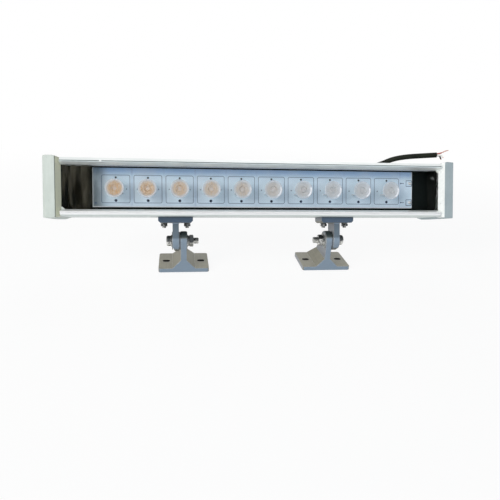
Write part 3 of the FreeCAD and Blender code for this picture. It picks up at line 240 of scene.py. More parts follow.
class Sheet:
    """The node tree of one material."""

    MIX_COLOURS = (6, 7, 2)  # sockets A, B and Result of a Mix node set to colour

    def __init__(self, name: str, lamp: LampFrame) -> None:
        """Starts a material with a Principled shader.

        Args:
            name: the material's name.
            lamp: the frame that patterns on the lamp are drawn in.
        """
        self.material = bpy.data.materials.new(name)
        self.material.use_nodes = True
        self.tree = self.material.node_tree
        self.tree.nodes.clear()
        self.lamp = lamp
        self.output = self.node("ShaderNodeOutputMaterial")
        self.shader = self.node("ShaderNodeBsdfPrincipled")
        self.connect(self.shader.out(), self.output.raw.inputs["Surface"])
        self.spot = self.node("ShaderNodeTexCoord").out("Object")

    def connect(self, source: bpy.types.NodeSocket, target: bpy.types.NodeSocket) -> None:
        """Links two sockets."""
        self.tree.links.new(source, target)

    def feed(self, target: bpy.types.NodeSocket, content: Any) -> None:
        """Sets a socket to a constant, or links a value or socket to it.

        Args:
            target: the socket.
            content: a constant, a value or another socket.
        """
        if isinstance(content, Value):
            self.connect(content.socket, target)
        elif isinstance(content, bpy.types.NodeSocket):
            self.connect(content, target)
        elif isinstance(content, (tuple, list, Vector)) and target.type == "RGBA":
            target.default_value = (*content[:3], 1.0)
        else:
            target.default_value = content

    def node(
        self,
        kind: str,
        settings: Union[dict[str, Any], None] = None,
        sockets: Union[dict[Union[int, str], Any], Sequence[Any]] = (),
    ) -> Placed:
        """Adds any node.

        Args:
            kind: the node's type.
            settings: its properties, set first; "stops" gives a ramp's positions and colours.
            sockets: constants, values or sockets for its inputs, by name, number or order.

        Returns:
            The placed node.
        """
        raw = self.tree.nodes.new(kind)
        for key, setting in (settings or {}).items():
            if key == "stops":
                self.set_stops(raw.color_ramp.elements, setting)
            else:
                setattr(raw, key, setting)
        pairs = sockets.items() if isinstance(sockets, dict) else enumerate(sockets)
        for key, content in pairs:
            self.feed(raw.inputs[key], content)
        return Placed(self, raw)

    @staticmethod
    def set_stops(elements: Any, stops: Sequence[tuple[float, Colour]]) -> None:
        """Gives a colour ramp its stops.

        Args:
            elements: the ramp's elements.
            stops: position and colour of each stop.
        """
        while len(elements) < len(stops):
            elements.new(0.5)
        for element, (position, colour) in zip(elements, stops):
            element.position = position
            element.color = (*colour, 1.0)

    def mix(self, factor: Number, low: Any, high: Any) -> bpy.types.NodeSocket:
        """Colour that goes from low to high with the factor.

        Args:
            factor: 0 for low, 1 for high.
            low: first colour.
            high: second colour.

        Returns:
            the mixed colour's socket.
        """
        first, second, result = self.MIX_COLOURS
        node = self.node("ShaderNodeMix", {"data_type": "RGBA"}, {
            0: factor, first: low, second: high,
        })
        return node.out(result)

    def along(self, row: Vector, constant: float) -> Value:
        """The model point's product with a vector, plus a constant."""
        node = self.node("ShaderNodeVectorMath", {"operation": "DOT_PRODUCT"}, (self.spot, row))
        return node.value("Value") + constant

    def lamp_axes(self) -> tuple[Value, Value, Value]:
        """X, Y and Z of the lamp's frame, millimetres."""
        across = self.along(Vector((1.0 / MM, 0.0, 0.0)), 0.0)
        return across, self.along(*self.lamp.depth_row()), self.along(*self.lamp.height_row())

    def stretched(self, scale: Colour) -> bpy.types.NodeSocket:
        """Object coordinates multiplied axis by axis."""
        settings = {"operation": "MULTIPLY"}
        return self.node("ShaderNodeVectorMath", settings, (self.spot, scale)).out()

    def noise(
        self,
        scale: float,
        detail: float = 2.0,
        roughness: float = 0.5,
        stretch: Union[Colour, None] = None,
    ) -> Value:
        """Noise of about 0 to 1 on object coordinates.

        Args:
            scale: waves per metre, about.
            detail: octaves.
            roughness: strength of the finer octaves.
            stretch: factors on the three axes.

        Returns:
            The noise.
        """
        vector = self.spot if stretch is None else self.stretched(stretch)
        node = self.node("ShaderNodeTexNoise", None, {
            "Vector": vector, "Scale": scale, "Detail": detail, "Roughness": roughness,
        })
        return node.value("Factor" if "Factor" in node.raw.outputs else "Fac")

    def facing(self) -> tuple[Value, Value, Value]:
        """The surface's normal in object space.

        Returns:
            its parts along X, Y and Z.
        """
        normal = self.node("ShaderNodeTexCoord").out("Normal")
        parts = self.node("ShaderNodeSeparateXYZ", None, (normal,))
        return parts.value(0), parts.value(1), parts.value(2)

    def soft_edges(self, radius: float) -> bpy.types.NodeSocket:
        """Normal that rounds sharp edges by a radius, millimetres."""
        node = self.node("ShaderNodeBevel", {"samples": 4}, {"Radius": radius * MM})
        return node.out()

    def rounded_edges(self, radius: float) -> tuple[bpy.types.NodeSocket, Value]:
        """Normal that rounds sharp edges by a radius, millimetres, and a mask of those edges: 1
        where the rounded and true normals part.

        Args:
            radius: radius of the rounding, millimetres.

        Returns:
            the rounded normal, and the mask.
        """
        rounded = self.soft_edges(radius)
        true = self.node("ShaderNodeNewGeometry").out("Normal")
        node = self.node("ShaderNodeVectorMath", {"operation": "DOT_PRODUCT"}, (rounded, true))
        return rounded, node.value("Value").ramp(0.992, 0.90)

    def bump(
        self,
        height: Value,
        distance: float,
        strength: float = 1.0,
        normal: Union[bpy.types.NodeSocket, None] = None,
    ) -> bpy.types.NodeSocket:
        """Normal of a relief whose full height is a distance, millimetres.

        Args:
            height: the relief, 0 to 1.
            distance: its full height, millimetres.
            strength: share of it that shows.
            normal: the normal that it starts from.

        Returns:
            the new normal.
        """
        sockets = {"Height": height, "Strength": strength, "Distance": distance * MM}
        if normal is not None:
            sockets["Normal"] = normal
        return self.node("ShaderNodeBump", None, sockets).out()

    def set(self, **sockets: Any) -> None:
        """Feeds the Principled shader's sockets; underscores in a name stand for spaces."""
        for key, content in sockets.items():
            self.feed(self.shader.raw.inputs[key.replace("_", " ")], content)

    def see_through(self, body: Number, tint: Colour = (1.0, 1.0, 1.0)) -> None:
        """Mixes the shader with clear space; body is the share that the shader keeps.

        Args:
            body: share that the shader keeps.
            tint: colour of the clear part.
        """
        clear = self.node("ShaderNodeBsdfTransparent", None, {"Color": tint})
        mixed = self.node("ShaderNodeMixShader", None, (body, clear.out(), self.shader.out()))
        self.connect(mixed.out(), self.output.raw.inputs["Surface"])
        self.material.blend_method = "BLEND"


# ------------------------------------------------------------------ finishes

@dataclass(frozen=True)
class Finish:
    """A named finish; each kind paints its own pattern."""

    name: str

    def material(self, lamp: LampFrame) -> bpy.types.Material:
        """Makes the material.

        Args:
            lamp: the frame that patterns are drawn in.

        Returns:
            the material.
        """
        sheet = Sheet(self.name, lamp)
        self.paint(sheet)
        return sheet.material

    def paint(self, sheet: Sheet) -> None:
        """Adds this finish's nodes to a sheet."""
        raise NotImplementedError


@dataclass(frozen=True)
class Anodised(Finish):
    """Satin anodised extrusion: lines drawn along it, one nick in the upper rim, and dirty patches
    near the ends; painted shade greys the upper front rim, darkens a line in its groove and the
    downward faces, and a painted highlight whitens the lower rim."""

    light: Colour = (0.93, 0.95, 0.94)
    dark: Colour = (0.80, 0.84, 0.83)
    # rim: painted shade that greys the upper front rim
    rim: Colour = (0.80, 0.88, 0.89)
    # painted highlight: the lower rim made white
    lower_rim_painted_highlight: Colour = (1.0, 1.0, 1.0)
    # under: painted shade of the downward faces
    under: Colour = (0.56, 0.62, 0.60)
    groove: float = 29.35     # height of the groove's middle
    nick: float = -185.6      # X of the nick
    groove_painted_shade: Colour = (0.16, 0.20, 0.20)
    nick_light: Colour = (0.95, 0.97, 0.97)
    end_dirt: Colour = (0.42, 0.43, 0.36)

    def paint(self, sheet: Sheet) -> None:
        """Long lines and mottling set tone, roughness and relief; distance from the groove's
        middle sets the dark line.

        Args:
            sheet: the material's sheet.
        """
        across, depth, height = sheet.lamp_axes()
        drawn = sheet.noise(1.0, 3.0, 0.6, (4.0, 900.0, 900.0))
        cloud = sheet.noise(38.0, 3.0, 0.55)
        tone = (drawn * 0.55 + cloud * 0.45).ramp(0.25, 0.75)
        base = sheet.mix(tone, self.dark, self.light)
        front = depth.ramp(-27.4, -27.8)
        # painted shade: the upper front rim is greyed against the lit lips
        base = sheet.mix(front * height.ramp(-2.0, 2.0) * 0.85, base, self.rim)
        # painted highlight: the lower rim, which faces up to the light, is white and not metallic
        low_rim = depth.ramp(-26.0, -26.6) * height.ramp(-25.0, -25.6) * height.ramp(-31.9, -31.5)
        base = sheet.mix(low_rim, base, self.lower_rim_painted_highlight)
        # painted shade on the downward faces
        under = height.ramp(-31.4, -32.6)
        base = sheet.mix(under * 0.8, base, self.under)
        nick = abs(across - self.nick).ramp(1.7, 1.0) * height.ramp(28.2, 28.7)
        nick = nick * depth.ramp(-26.0, -26.4)
        # painted shade: a dark line in the groove
        line = abs(height - self.groove).ramp(0.62, 0.42) * depth.ramp(-26.2, -26.6)
        base = sheet.mix(line * (1.0 - nick) * 0.9, base, self.groove_painted_shade)
        base = sheet.mix(nick * 0.8, base, self.nick_light)
        ends = abs(across).ramp(214.0, 231.0) * cloud.ramp(0.45, 0.8) * 0.35
        base = sheet.mix(ends, base, self.end_dirt)
        sheet.set(
            Base_Color=base,
            Metallic=0.45 - low_rim * 0.45,
            Roughness=drawn * 0.14 + cloud * 0.10 + 0.26 + low_rim * 0.2,
            Normal=sheet.bump(drawn, 0.02, 0.5, sheet.soft_edges(0.4)),
        )


@dataclass(frozen=True)
class SawnMetal(Finish):
    """Grey extruded bracket, saw-cut to length and warm grey where drawn. Painted shade turns the
    cut front faces and the sides blue-grey, the flange's front darker, and darkens the downward
    faces and fixing holes; painted shadow darkens the feet's crowns and, with some soiling, the
    band under the lamp; edges are lighter for wear and painted highlight."""

    light: Colour = (0.27, 0.26, 0.205)
    dark: Colour = (0.20, 0.19, 0.15)
    sawn: Colour = (0.215, 0.285, 0.37)
    # flange and flank: painted shade tints of the flange's front and of the side faces
    flange: Colour = (0.14, 0.22, 0.37)
    flank: Colour = (0.30, 0.32, 0.36)
    stem: float = 93.0        # X of the feet's middles, from the shift
    shift: float = 1.4
    hole_reach: float = 22.25
    hole_row: float = -0.93
    edge_wear_and_highlight: Colour = (0.70, 0.72, 0.72)
    grime_and_painted_shade: Colour = (0.10, 0.11, 0.13)
    crown_painted_shadow: Colour = (0.02, 0.035, 0.04)
    hole_painted_shade: Colour = (0.012, 0.012, 0.010)
    downward_painted_shade: Colour = (0.12, 0.13, 0.15)

    def paint(self, sheet: Sheet) -> None:
        """The way a face looks chooses between the drawn tint and the painted shade tints of the
        cut front faces and of the sides.

        Args:
            sheet: the material's sheet.
        """
        _, _, height = sheet.lamp_axes()
        east, north, up = sheet.facing()
        drawn = sheet.noise(1.0, 3.0, 0.6, (900.0, 14.0, 900.0))
        saw = sheet.noise(1.0, 2.0, 0.5, (160.0, 60.0, 1400.0))
        cloud = sheet.noise(70.0, 3.0, 0.6)
        base = sheet.mix((drawn * 0.5 + cloud * 0.5).ramp(0.3, 0.7), self.dark, self.light)
        # painted shade: side faces tinted blue-grey
        side = abs(east).ramp(0.8, 0.97)
        base = sheet.mix(side * 0.85, base, self.flank)
        # painted shade: front faces blue-grey, darker on the flange
        front = abs(north).ramp(0.72, 0.9)
        cut = sheet.mix(height.ramp(-42.0, -39.5), self.sawn, self.flange)
        base = sheet.mix(front * (0.80 + saw * 0.2), base, cut)
        # edges lightened: wear and painted highlight
        rounded, rounded_edges = sheet.rounded_edges(0.9)
        base = sheet.mix(rounded_edges * 0.45, base, self.edge_wear_and_highlight)
        # painted contact shadow in a band at the flange's top, under the lamp, with a little cloudy
        # soiling
        grime_and_painted_shade = height.ramp(-35.4, -33.9) * 0.8 + cloud.ramp(0.62, 0.8) * 0.15
        base = sheet.mix((grime_and_painted_shade * 0.7).least(1.0), base, self.grime_and_painted_shade)
        # painted shadow on the upward faces of the feet's crowns
        level = sheet.along(Vector((0.0, 0.0, 1.0 / MM)), 0.0)
        crown = level.ramp(43.5, 46.5) * up.ramp(0.15, 0.5)
        base = sheet.mix(crown * 0.93, base, self.crown_painted_shadow)
        base = sheet.mix(self.holes(sheet, up), base, self.hole_painted_shade)
        # painted shade on downward faces
        dim = up.ramp(-0.3, -0.9) * 0.3
        sheet.set(
            Base_Color=sheet.mix(dim, base, self.downward_painted_shade),
            Metallic=0.25,
            Roughness=drawn * 0.16 + cloud * 0.12 + 0.34,
            Normal=sheet.bump(drawn * 0.6 + front * saw, 0.03, 0.5, rounded),
        )

    def holes(self, sheet: Sheet, up: Value) -> Value:
        """1 on the walls of the feet's fixing holes, which painted shade darkens.

        Args:
            sheet: the material's sheet.
            up: upward part of the surface's normal.

        Returns:
            the mask.
        """
        across = sheet.along(Vector((1.0 / MM, 0.0, 0.0)), -self.shift)
        row = sheet.along(Vector((0.0, 1.0 / MM, 0.0)), -self.hole_row)
        reach = abs(abs(abs(across) - self.stem) - self.hole_reach)
        inside = reach.ramp(5.6, 5.0) * abs(row).ramp(4.2, 3.5)
        return inside * abs(up).ramp(0.6, 0.3)


@dataclass(frozen=True)
class PaintedCasting(Finish):
    """Satin paint over a die casting: slight orange peel, a few dark specks, a bevel inside
    the ridge tinted as painted light, and a fine painted shadow line along the ridge."""

    light: Colour = (0.56, 0.61, 0.58)
    dark: Colour = (0.49, 0.54, 0.51)
    # bevel: painted light; this olive default is the bevel's painted shade
    bevel: Colour = (0.66, 0.66, 0.50)
    ridge: float = 235.3
    ridge_shadow: float = 0.0         # strength of the painted shadow line along the ridge
    ridge_shadow_tint: Colour = (0.10, 0.12, 0.11)
    low_shade: Colour = (0.36, 0.37, 0.34)
    speck_shade: Colour = (0.30, 0.31, 0.30)

    def paint(self, sheet: Sheet) -> None:
        """Cloudy tone, orange-peel relief, rare specks and distance from the ridge.

        Args:
            sheet: the material's sheet.
        """
        across, depth, height = sheet.lamp_axes()
        cloud = sheet.noise(55.0, 3.0, 0.6)
        drip = sheet.noise(1.0, 2.0, 0.5, (420.0, 60.0, 40.0))
        peel = sheet.noise(900.0, 2.0, 0.5)
        speck = sheet.noise(420.0, 1.0, 0.4).ramp(0.73, 0.77)
        tone = (cloud * 0.6 + drip * 0.4).ramp(0.3, 0.7)
        base = sheet.mix(tone, self.dark, self.light)
        inward = abs(across).ramp(self.ridge + 0.1, self.ridge - 0.1)
        fronting = depth.ramp(-12.0, -16.0)
        grain = sheet.noise(520.0, 2.0, 0.6).ramp(0.3, 0.7) * 0.15
        # painted light on the inward bevel
        base = sheet.mix(inward * fronting * (1.0 - grain), base, self.bevel)
        # painted shadow: a fine dark line along the ridge
        line = abs(abs(across) - self.ridge - 0.1).ramp(0.62, 0.30) * fronting
        base = sheet.mix(line * self.ridge_shadow, base, self.ridge_shadow_tint)
        low = height.ramp(-31.0, -36.0) * cloud.ramp(0.4, 0.7) * 0.3
        base = sheet.mix(low, base, self.low_shade)
        sheet.set(
            Base_Color=sheet.mix(speck * 0.5, base, self.speck_shade),
            Metallic=0.05,
            Roughness=cloud * 0.12 + 0.50,
            Specular_IOR_Level=0.2,
            Normal=sheet.bump(peel, 0.03, 0.35, sheet.soft_edges(0.6)),
        )


@dataclass(frozen=True)
class TurnedSteel(Finish):
    """Stainless fastener: bright, with turning marks, and a painted dark reflection on what looks
    up.
    """

    light: Colour = (0.80, 0.80, 0.77)
    # dark: colour of the painted dark reflection
    dark: Colour = (0.035, 0.04, 0.045)
    roughness: float = 0.20

    def paint(self, sheet: Sheet) -> None:
        """Painted dark reflection lies in cloudy patches and on upward and front faces, over turned
        lines; edges keep more brightness as painted highlight.

        Args:
            sheet: the material's sheet.
        """
        _, north, up = sheet.facing()
        turned = sheet.noise(1.0, 2.0, 0.5, (2600.0, 120.0, 120.0))
        patch = sheet.noise(420.0, 2.0, 0.6).ramp(0.44, 0.60)
        # painted dark reflection on upward and front faces and in cloudy patches
        grime_and_painted_shade = (up.ramp(-0.05, 0.4) + patch * 0.55 + north.ramp(-0.9, -1.0) * 0.25).least(1.0)
        rounded, rounded_edges = sheet.rounded_edges(0.25)
        grime_and_painted_shade = grime_and_painted_shade * (1.0 - rounded_edges * 0.6)
        sheet.set(
            Base_Color=sheet.mix(grime_and_painted_shade * 0.96, self.light, self.dark),
            Metallic=0.95,
            Roughness=grime_and_painted_shade * 0.18 + turned * 0.12 + self.roughness,
            Normal=sheet.bump(turned, 0.02, 0.5, rounded),
        )


@dataclass(frozen=True)
class Moulded(Finish):
    """Plastic or rubber: fine grain, slight tone change, dust on faces that look up."""

    colour: Colour = (0.012, 0.013, 0.012)
    second: Colour = (0.022, 0.023, 0.021)
    roughness: float = 0.5
    grain: float = 1400.0
    relief: float = 0.03
    dust: float = 0.06
    specular: float = 0.2
    dust_tint: Colour = (0.45, 0.44, 0.40)

    def paint(self, sheet: Sheet) -> None:
        """Grain drives tone, roughness and relief; dust lightens the upper faces.

        Args:
            sheet: the material's sheet.
        """
        grain = sheet.noise(self.grain, 2.0, 0.5)
        cloud = sheet.noise(90.0, 2.0, 0.5)
        _, _, up = sheet.facing()
        tone = sheet.mix(cloud.ramp(0.3, 0.7), self.colour, self.second)
        dusty = up.ramp(0.3, 1.0) * cloud.ramp(0.35, 0.8) * self.dust
        sheet.set(
            Base_Color=sheet.mix(dusty, tone, self.dust_tint),
            Roughness=grain * 0.12 + cloud * 0.08 + (self.roughness - 0.1),
            Specular_IOR_Level=self.specular,
            Normal=sheet.bump(grain, self.relief, 0.5),
        )


@dataclass(frozen=True)
class BoardPrint(Finish):
    """Solder resist of the LED board, with a printed square round each LED and two pads."""

    first: float = -172.0     # X of the first LED
    pitch: float = 38.0
    square: float = 16.6      # half size of a printed square
    corner: float = 2.0
    line: float = 0.32        # half width of a printed line
    hole: float = 13.8        # peg holes above and below the LED
    side_mark: float = 12.6   # small dots left and right of the LED
    row_end: float = 189.0    # end of the printed row
    pad: float = 200.6        # X of the two solder pads
    pad_heights: tuple[float, float] = (10.5, -14.3)
    pad_square: float = 3.7
    resist: Colour = (0.77, 0.92, 1.0)
    # upper: painted shadow of the housing's top lip, a darker, bluer band
    upper: Colour = (0.52, 0.74, 1.0)
    ink: Colour = (0.05, 0.09, 0.18)
    # pale: painted reflection haze
    pale: Colour = (0.84, 0.92, 1.0)
    beside: Colour = (0.44, 0.56, 0.74)   # between two squares
    left_end_painted_shadow: Colour = (0.16, 0.20, 0.21)  # painted shadow at the left end, streaked by noise
    edge: Colour = (0.92, 0.94, 0.92)
    lead: float = 191.6       # X of the short lines beside the pads
    lead_dot: float = 189.6
    left_mark: tuple[float, float] = (195.6, 16.8)

    def paint(self, sheet: Sheet) -> None:
        """Distances to rounded squares, dots and pads become ink lines over the resist.

        Args:
            sheet: the material's sheet.
        """
        across, _, height = sheet.lamp_axes()
        centre = (across - (self.first - self.pitch / 2)) % self.pitch - self.pitch / 2
        in_row = (across - self.row_end).ramp(0.2, -0.2) * (
            across - (self.first - self.pitch / 2)
        ).ramp(-0.2, 0.2)
        ink = self.outline(centre, height, self.square, self.corner) * in_row * 0.8
        ink = ink.most(self.dot(centre, height - self.hole, 1.25) * in_row)
        ink = ink.most(self.dot(centre, height + self.hole, 1.75) * in_row)
        for side in (-1, 1):
            mark = self.dot(centre - side * self.side_mark, height, 0.8)
            ink = ink.most(mark * in_row * 0.75)
        for level in self.pad_heights:
            box = self.outline(across - self.pad, height - level, self.pad_square, 0.3)
            lead = abs(height - level).ramp(0.45, 0.2) * abs(across - self.lead).ramp(2.6, 2.3)
            end = self.dot(across - self.lead_dot, height - level, 0.9)
            ink = ink.most(box).most(lead).most(end)
        left, below = self.left_mark
        ink = ink.most(self.dot((across + left) * 0.45, height + below, 0.8) * 0.8)
        cloud = sheet.noise(26.0, 3.0, 0.55)
        sheen = sheet.noise(1.0, 2.0, 0.5, (34.0, 10.0, 9.0))
        # painted shadow of the top lip over the board's upper band
        base = sheet.mix(height.ramp(14.0, 23.0), self.resist, self.upper)
        # painted reflection: pale cloudy haze over the resist
        base = sheet.mix(cloud.ramp(0.35, 0.75) * 0.4, base, self.pale)
        sides = abs(centre).ramp(17.2, 18.6) * in_row * sheen.ramp(0.35, 0.65) * 0.35
        base = sheet.mix(sides, base, self.beside)
        # painted shadow over the left end, streaked by noise
        smear = sheet.noise(1.0, 3.0, 0.6, (110.0, 10.0, 40.0)).ramp(0.3, 0.65)
        left_end = across.ramp(-178.0, -196.0)
        base = sheet.mix(left_end * (smear * 0.3 + 0.65), base, self.left_end_painted_shadow)
        rim = height.ramp(-20.2, -21.0).most(across.ramp(203.6, 204.4))
        rim = rim.most(across.ramp(-197.6, -198.6) * 0.8)
        base = sheet.mix(rim * 0.8, base, self.edge)
        sheet.set(
            Base_Color=sheet.mix(ink, base, self.ink),
            Roughness=cloud * 0.15 + sheen * 0.10 + 0.32,
            Specular_IOR_Level=0.3,
            Normal=sheet.bump(ink, 0.02, 0.4),
        )

    def outline(self, u: Value, v: Value, half: float, corner: float) -> Value:
        """1 on the line of a rounded square: the distance outside its core, less the corner's
        radius, is near zero.

        Args:
            u: distance across from the square's middle.
            v: distance up from it.
            half: half of the square's size.
            corner: radius of its corners.

        Returns:
            the mask.
        """
        over_u = (abs(u) - (half - corner)).most(0.0)
        over_v = (abs(v) - (half - corner)).most(0.0)
        inside = (abs(u) - (half - corner)).most(abs(v) - (half - corner)).least(0.0)
        distance = (over_u * over_u + over_v * over_v) ** 0.5 + inside - corner
        return abs(distance).ramp(self.line * 1.3, self.line * 0.8)

    @staticmethod
    def dot(u: Value, v: Value, radius: float) -> Value:
        """1 inside a dot."""
        return ((u * u + v * v) ** 0.5).ramp(radius * 1.12, radius * 0.88)


@dataclass(frozen=True)
class OpticClear(Finish):
    """Clear collimator over a phosphor: hazy pebbled face, and a reflector body with a painted
    reflection of the phosphor in fine streaks, warmest at the row's left end, a paler painted image
    of the die at the middle and a painted highlight crescent on the rim."""

    first: float = -172.0
    pitch: float = 38.0
    # warm, pale and cool: painted reflection of the phosphor; die: its painted image at the middle;
    # glint: painted highlight
    warm: Colour = (0.97, 0.55, 0.18)
    pale: Colour = (1.0, 0.93, 0.80)
    cool: Colour = (0.88, 0.93, 0.95)
    rim: Colour = (0.90, 0.94, 0.96)
    die: Colour = (0.90, 0.84, 0.82)
    glint: Colour = (1.0, 1.0, 1.0)

    def paint(self, sheet: Sheet) -> None:
        """Distance from the LED's axis blends the streaked core of painted reflection into the
        clear rim.

        Args:
            sheet: the material's sheet.
        """
        across, depth, height = sheet.lamp_axes()
        centre = (across - (self.first - self.pitch / 2)) % self.pitch - self.pitch / 2
        radius = (centre * centre + height * height) ** 0.5
        angle = height.math("ARCTAN2", centre)
        flow = sheet.noise(1.0, 3.0, 0.6, (900.0, 60.0, 160.0))
        spokes = (angle * 17.0 + flow * 9.0).math("SINE") * 0.5 + 0.5
        streak = (flow.ramp(0.35, 0.65) * 0.65 + spokes * 0.35)
        # painted reflection of the phosphor: warm streaks fading to cool along the row, standing
        # for the change of view
        fade = across.ramp(-190.0, 110.0)
        core = sheet.mix(streak, self.warm, self.pale)
        core = sheet.mix(fade * 0.82, core, self.cool)
        # painted image of the die at the middle
        core = sheet.mix(radius.ramp(2.8, 1.6) * 0.55, core, self.die)
        colour = sheet.mix(radius.ramp(7.0, 9.8), core, self.rim)
        # painted highlight: a white crescent on the rim
        turned = centre * 0.94 - height * 0.34
        crescent = (turned / (radius + 0.1)).ramp(0.62, 0.90) * radius.ramp(7.8, 8.8)
        crescent = crescent * radius.ramp(11.2, 10.4) * across.ramp(-110.0, 60.0)
        colour = sheet.mix(crescent, colour, self.glint)
        face = depth.ramp(-14.3, -14.8).most(radius.ramp(4.2, 3.9) * depth.ramp(-12.0, -12.6))
        haze = sheet.noise(1500.0, 1.0, 0.5)
        pebble = sheet.node("ShaderNodeTexVoronoi", {"feature": "SMOOTH_F1"}, {
            "Vector": sheet.spot, "Scale": 1100.0,
        }).value("Distance")
        shine = sheet.node("ShaderNodeFresnel", None, {"IOR": 1.49}).value()
        kept = face * (haze * 0.16 + 0.26) + (1.0 - face) * 0.86
        sheet.set(
            Base_Color=colour,
            Roughness=haze * 0.1 + 0.12,
            Specular_IOR_Level=0.55,
            Normal=sheet.bump(pebble, 0.08, 0.35),
        )
        kept = kept.most(shine * 0.6).most(crescent * 0.9)
        sheet.see_through(kept.least(1.0))


@dataclass(frozen=True)
class Phosphor(Finish):
    """LED package: white base and a yellow dome."""

    dome: Colour = (0.95, 0.52, 0.08)
    base: Colour = (0.82, 0.82, 0.78)
    grain: Colour = (0.98, 0.66, 0.16)

    def paint(self, sheet: Sheet) -> None:
        """The dome starts a little ahead of the base.

        Args:
            sheet: the material's sheet.
        """
        _, depth, _ = sheet.lamp_axes()
        grain = sheet.noise(2600.0, 2.0, 0.5)
        dome = depth.ramp(-0.7, -0.95)
        yellow = sheet.mix(grain.ramp(0.3, 0.7), self.dome, self.grain)
        sheet.set(
            Base_Color=sheet.mix(dome, self.base, yellow),
            Roughness=grain * 0.1 + 0.25,
            Coat_Weight=dome * 0.6,
        )


@dataclass(frozen=True)
class ClearPane(Finish):
    """Coated toughened glass: clear, green at the edge, with sealant smears near its ends, a
    painted reflection in folds at its left end, and one short scratch."""

    painted_reflection: Colour = (0.055, 0.050, 0.032)
    sealant: Colour = (0.045, 0.055, 0.042)
    scratch: tuple[float, float] = (223.4, 15.6)
    scratch_light: Colour = (0.90, 0.92, 0.90)
    edge_green: Colour = (0.20, 0.42, 0.36)

    def paint(self, sheet: Sheet) -> None:
        """Fresnel keeps a thin gloss; noise masks the painted reflection, sealant smears and
        scratch.

        Args:
            sheet: the material's sheet.
        """
        across, _, height = sheet.lamp_axes()
        folds = sheet.noise(1.0, 3.0, 0.6, (120.0, 10.0, 26.0))
        # painted reflection in drape-like folds at the left end
        painted_reflection = across.ramp(-190.0, -206.0) * folds.ramp(0.40, 0.68) * 0.55
        ragged = sheet.noise(1.0, 3.0, 0.65, (260.0, 10.0, 120.0))
        patch = sheet.noise(1.0, 1.0, 0.5, (20.0, 10.0, 60.0)).ramp(0.42, 0.60)
        smear = (across + ragged * 6.0).ramp(229.6, 231.6) * patch * 0.75
        left, level = self.scratch
        along = (across - left) * 0.58 - (height - level) * 0.81
        off = (across - left) * 0.81 + (height - level) * 0.58
        scratch = abs(off).ramp(0.26, 0.10) * abs(along).ramp(2.6, 2.0) * 0.5
        edge = abs(height).ramp(25.8, 26.6)
        gloss = sheet.node("ShaderNodeFresnel", None, {"IOR": 1.5}).value() * 0.16
        tone = sheet.mix(smear.ramp(0.0, 0.2), self.painted_reflection, self.sealant)
        tone = sheet.mix(scratch.ramp(0.0, 0.3), tone, self.scratch_light)
        tone = sheet.mix(edge, tone, self.edge_green)
        sheet.set(Base_Color=tone, Roughness=folds * 0.04 + 0.04, Specular_IOR_Level=0.3)
        kept = (gloss + painted_reflection).most(smear).most(scratch).most(edge * 0.7)
        sheet.see_through(kept.least(1.0), (0.98, 0.985, 1.0))


@dataclass(frozen=True)
class Tray(Finish):
    """Black sheet metal behind the glass, with a browner painted reflection at its left."""

    black: Colour = (0.004, 0.007, 0.006)
    # brown: colour of the painted reflection
    brown: Colour = (0.016, 0.014, 0.007)

    def paint(self, sheet: Sheet) -> None:
        """Vertical folds of painted reflection lighten the left end.

        Args:
            sheet: the material's sheet.
        """
        across, _, _ = sheet.lamp_axes()
        folds = sheet.noise(1.0, 3.0, 0.6, (80.0, 12.0, 16.0))
        left = across.ramp(-188.0, -214.0)
        grain = sheet.noise(700.0, 2.0, 0.5)
        sheet.set(
            Base_Color=sheet.mix(left * folds.ramp(0.35, 0.7), self.black, self.brown),
            Roughness=grain * 0.2 + 0.55,
            Specular_IOR_Level=0.08,
            Normal=sheet.bump(grain, 0.02, 0.3),
        )


@dataclass(frozen=True)
class Solder(Finish):
    """Dull solder with paler flux on its flank."""

    def paint(self, sheet: Sheet) -> None:
        """Cloudy flux over grey metal.

        Args:
            sheet: the material's sheet.
        """
        patch = sheet.noise(700.0, 2.0, 0.6)
        sheet.set(
            Base_Color=sheet.mix(patch.ramp(0.35, 0.6), (0.62, 0.64, 0.62), (0.95, 0.95, 0.92)),
            Metallic=0.3,
            Roughness=patch * 0.2 + 0.25,
            Normal=sheet.bump(patch, 0.1, 0.5),
        )


@dataclass(frozen=True)
class StrandedCopper(Finish):
    """Bare copper strands, partly tinned."""

    def paint(self, sheet: Sheet) -> None:
        """Tinned patches over copper.

        Args:
            sheet: the material's sheet.
        """
        patch = sheet.noise(900.0, 2.0, 0.5)
        sheet.set(
            Base_Color=sheet.mix(patch.ramp(0.35, 0.65), (0.48, 0.20, 0.15), (0.62, 0.38, 0.31)),
            Metallic=0.6,
            Roughness=patch * 0.2 + 0.3,
        )


GLAND_NYLON = Moulded("gland_nylon", roughness=0.42, specular=0.35)


class Wardrobe:
    """Makes each finish's material once and puts materials on objects."""

    def __init__(self, lamp: LampFrame, nodes: dict[str, bpy.types.Object]) -> None:
        """Keeps the lamp's frame and the model's nodes.

        Args:
            lamp: the lamp's frame.
            nodes: the model's nodes by name.
        """
        self.lamp = lamp
        self.nodes = nodes
        self.made: dict[Finish, bpy.types.Material] = {}

    def material(self, finish: Finish) -> bpy.types.Material:
        """The finish's material, made when it is first asked for.

        Args:
            finish: the finish.

        Returns:
            its material.
        """
        if finish not in self.made:
            self.made[finish] = finish.material(self.lamp)
        return self.made[finish]

    def dress(self, finish: Finish, *names: str) -> None:
        """Puts a finish on nodes of the model.

        Args:
            finish: the finish.
            names: the nodes' names.
        """
        for name in names:
            slots = self.nodes[name].data.materials
            slots.clear()
            slots.append(self.material(finish))

    def dress_pair(self, finish: Finish, *names: str) -> None:
        """Puts a finish on the left and right nodes of each name."""
        for name in names:
            self.dress(finish, "left_" + name, "right_" + name)


# ------------------------------------------------------------------ surfaces

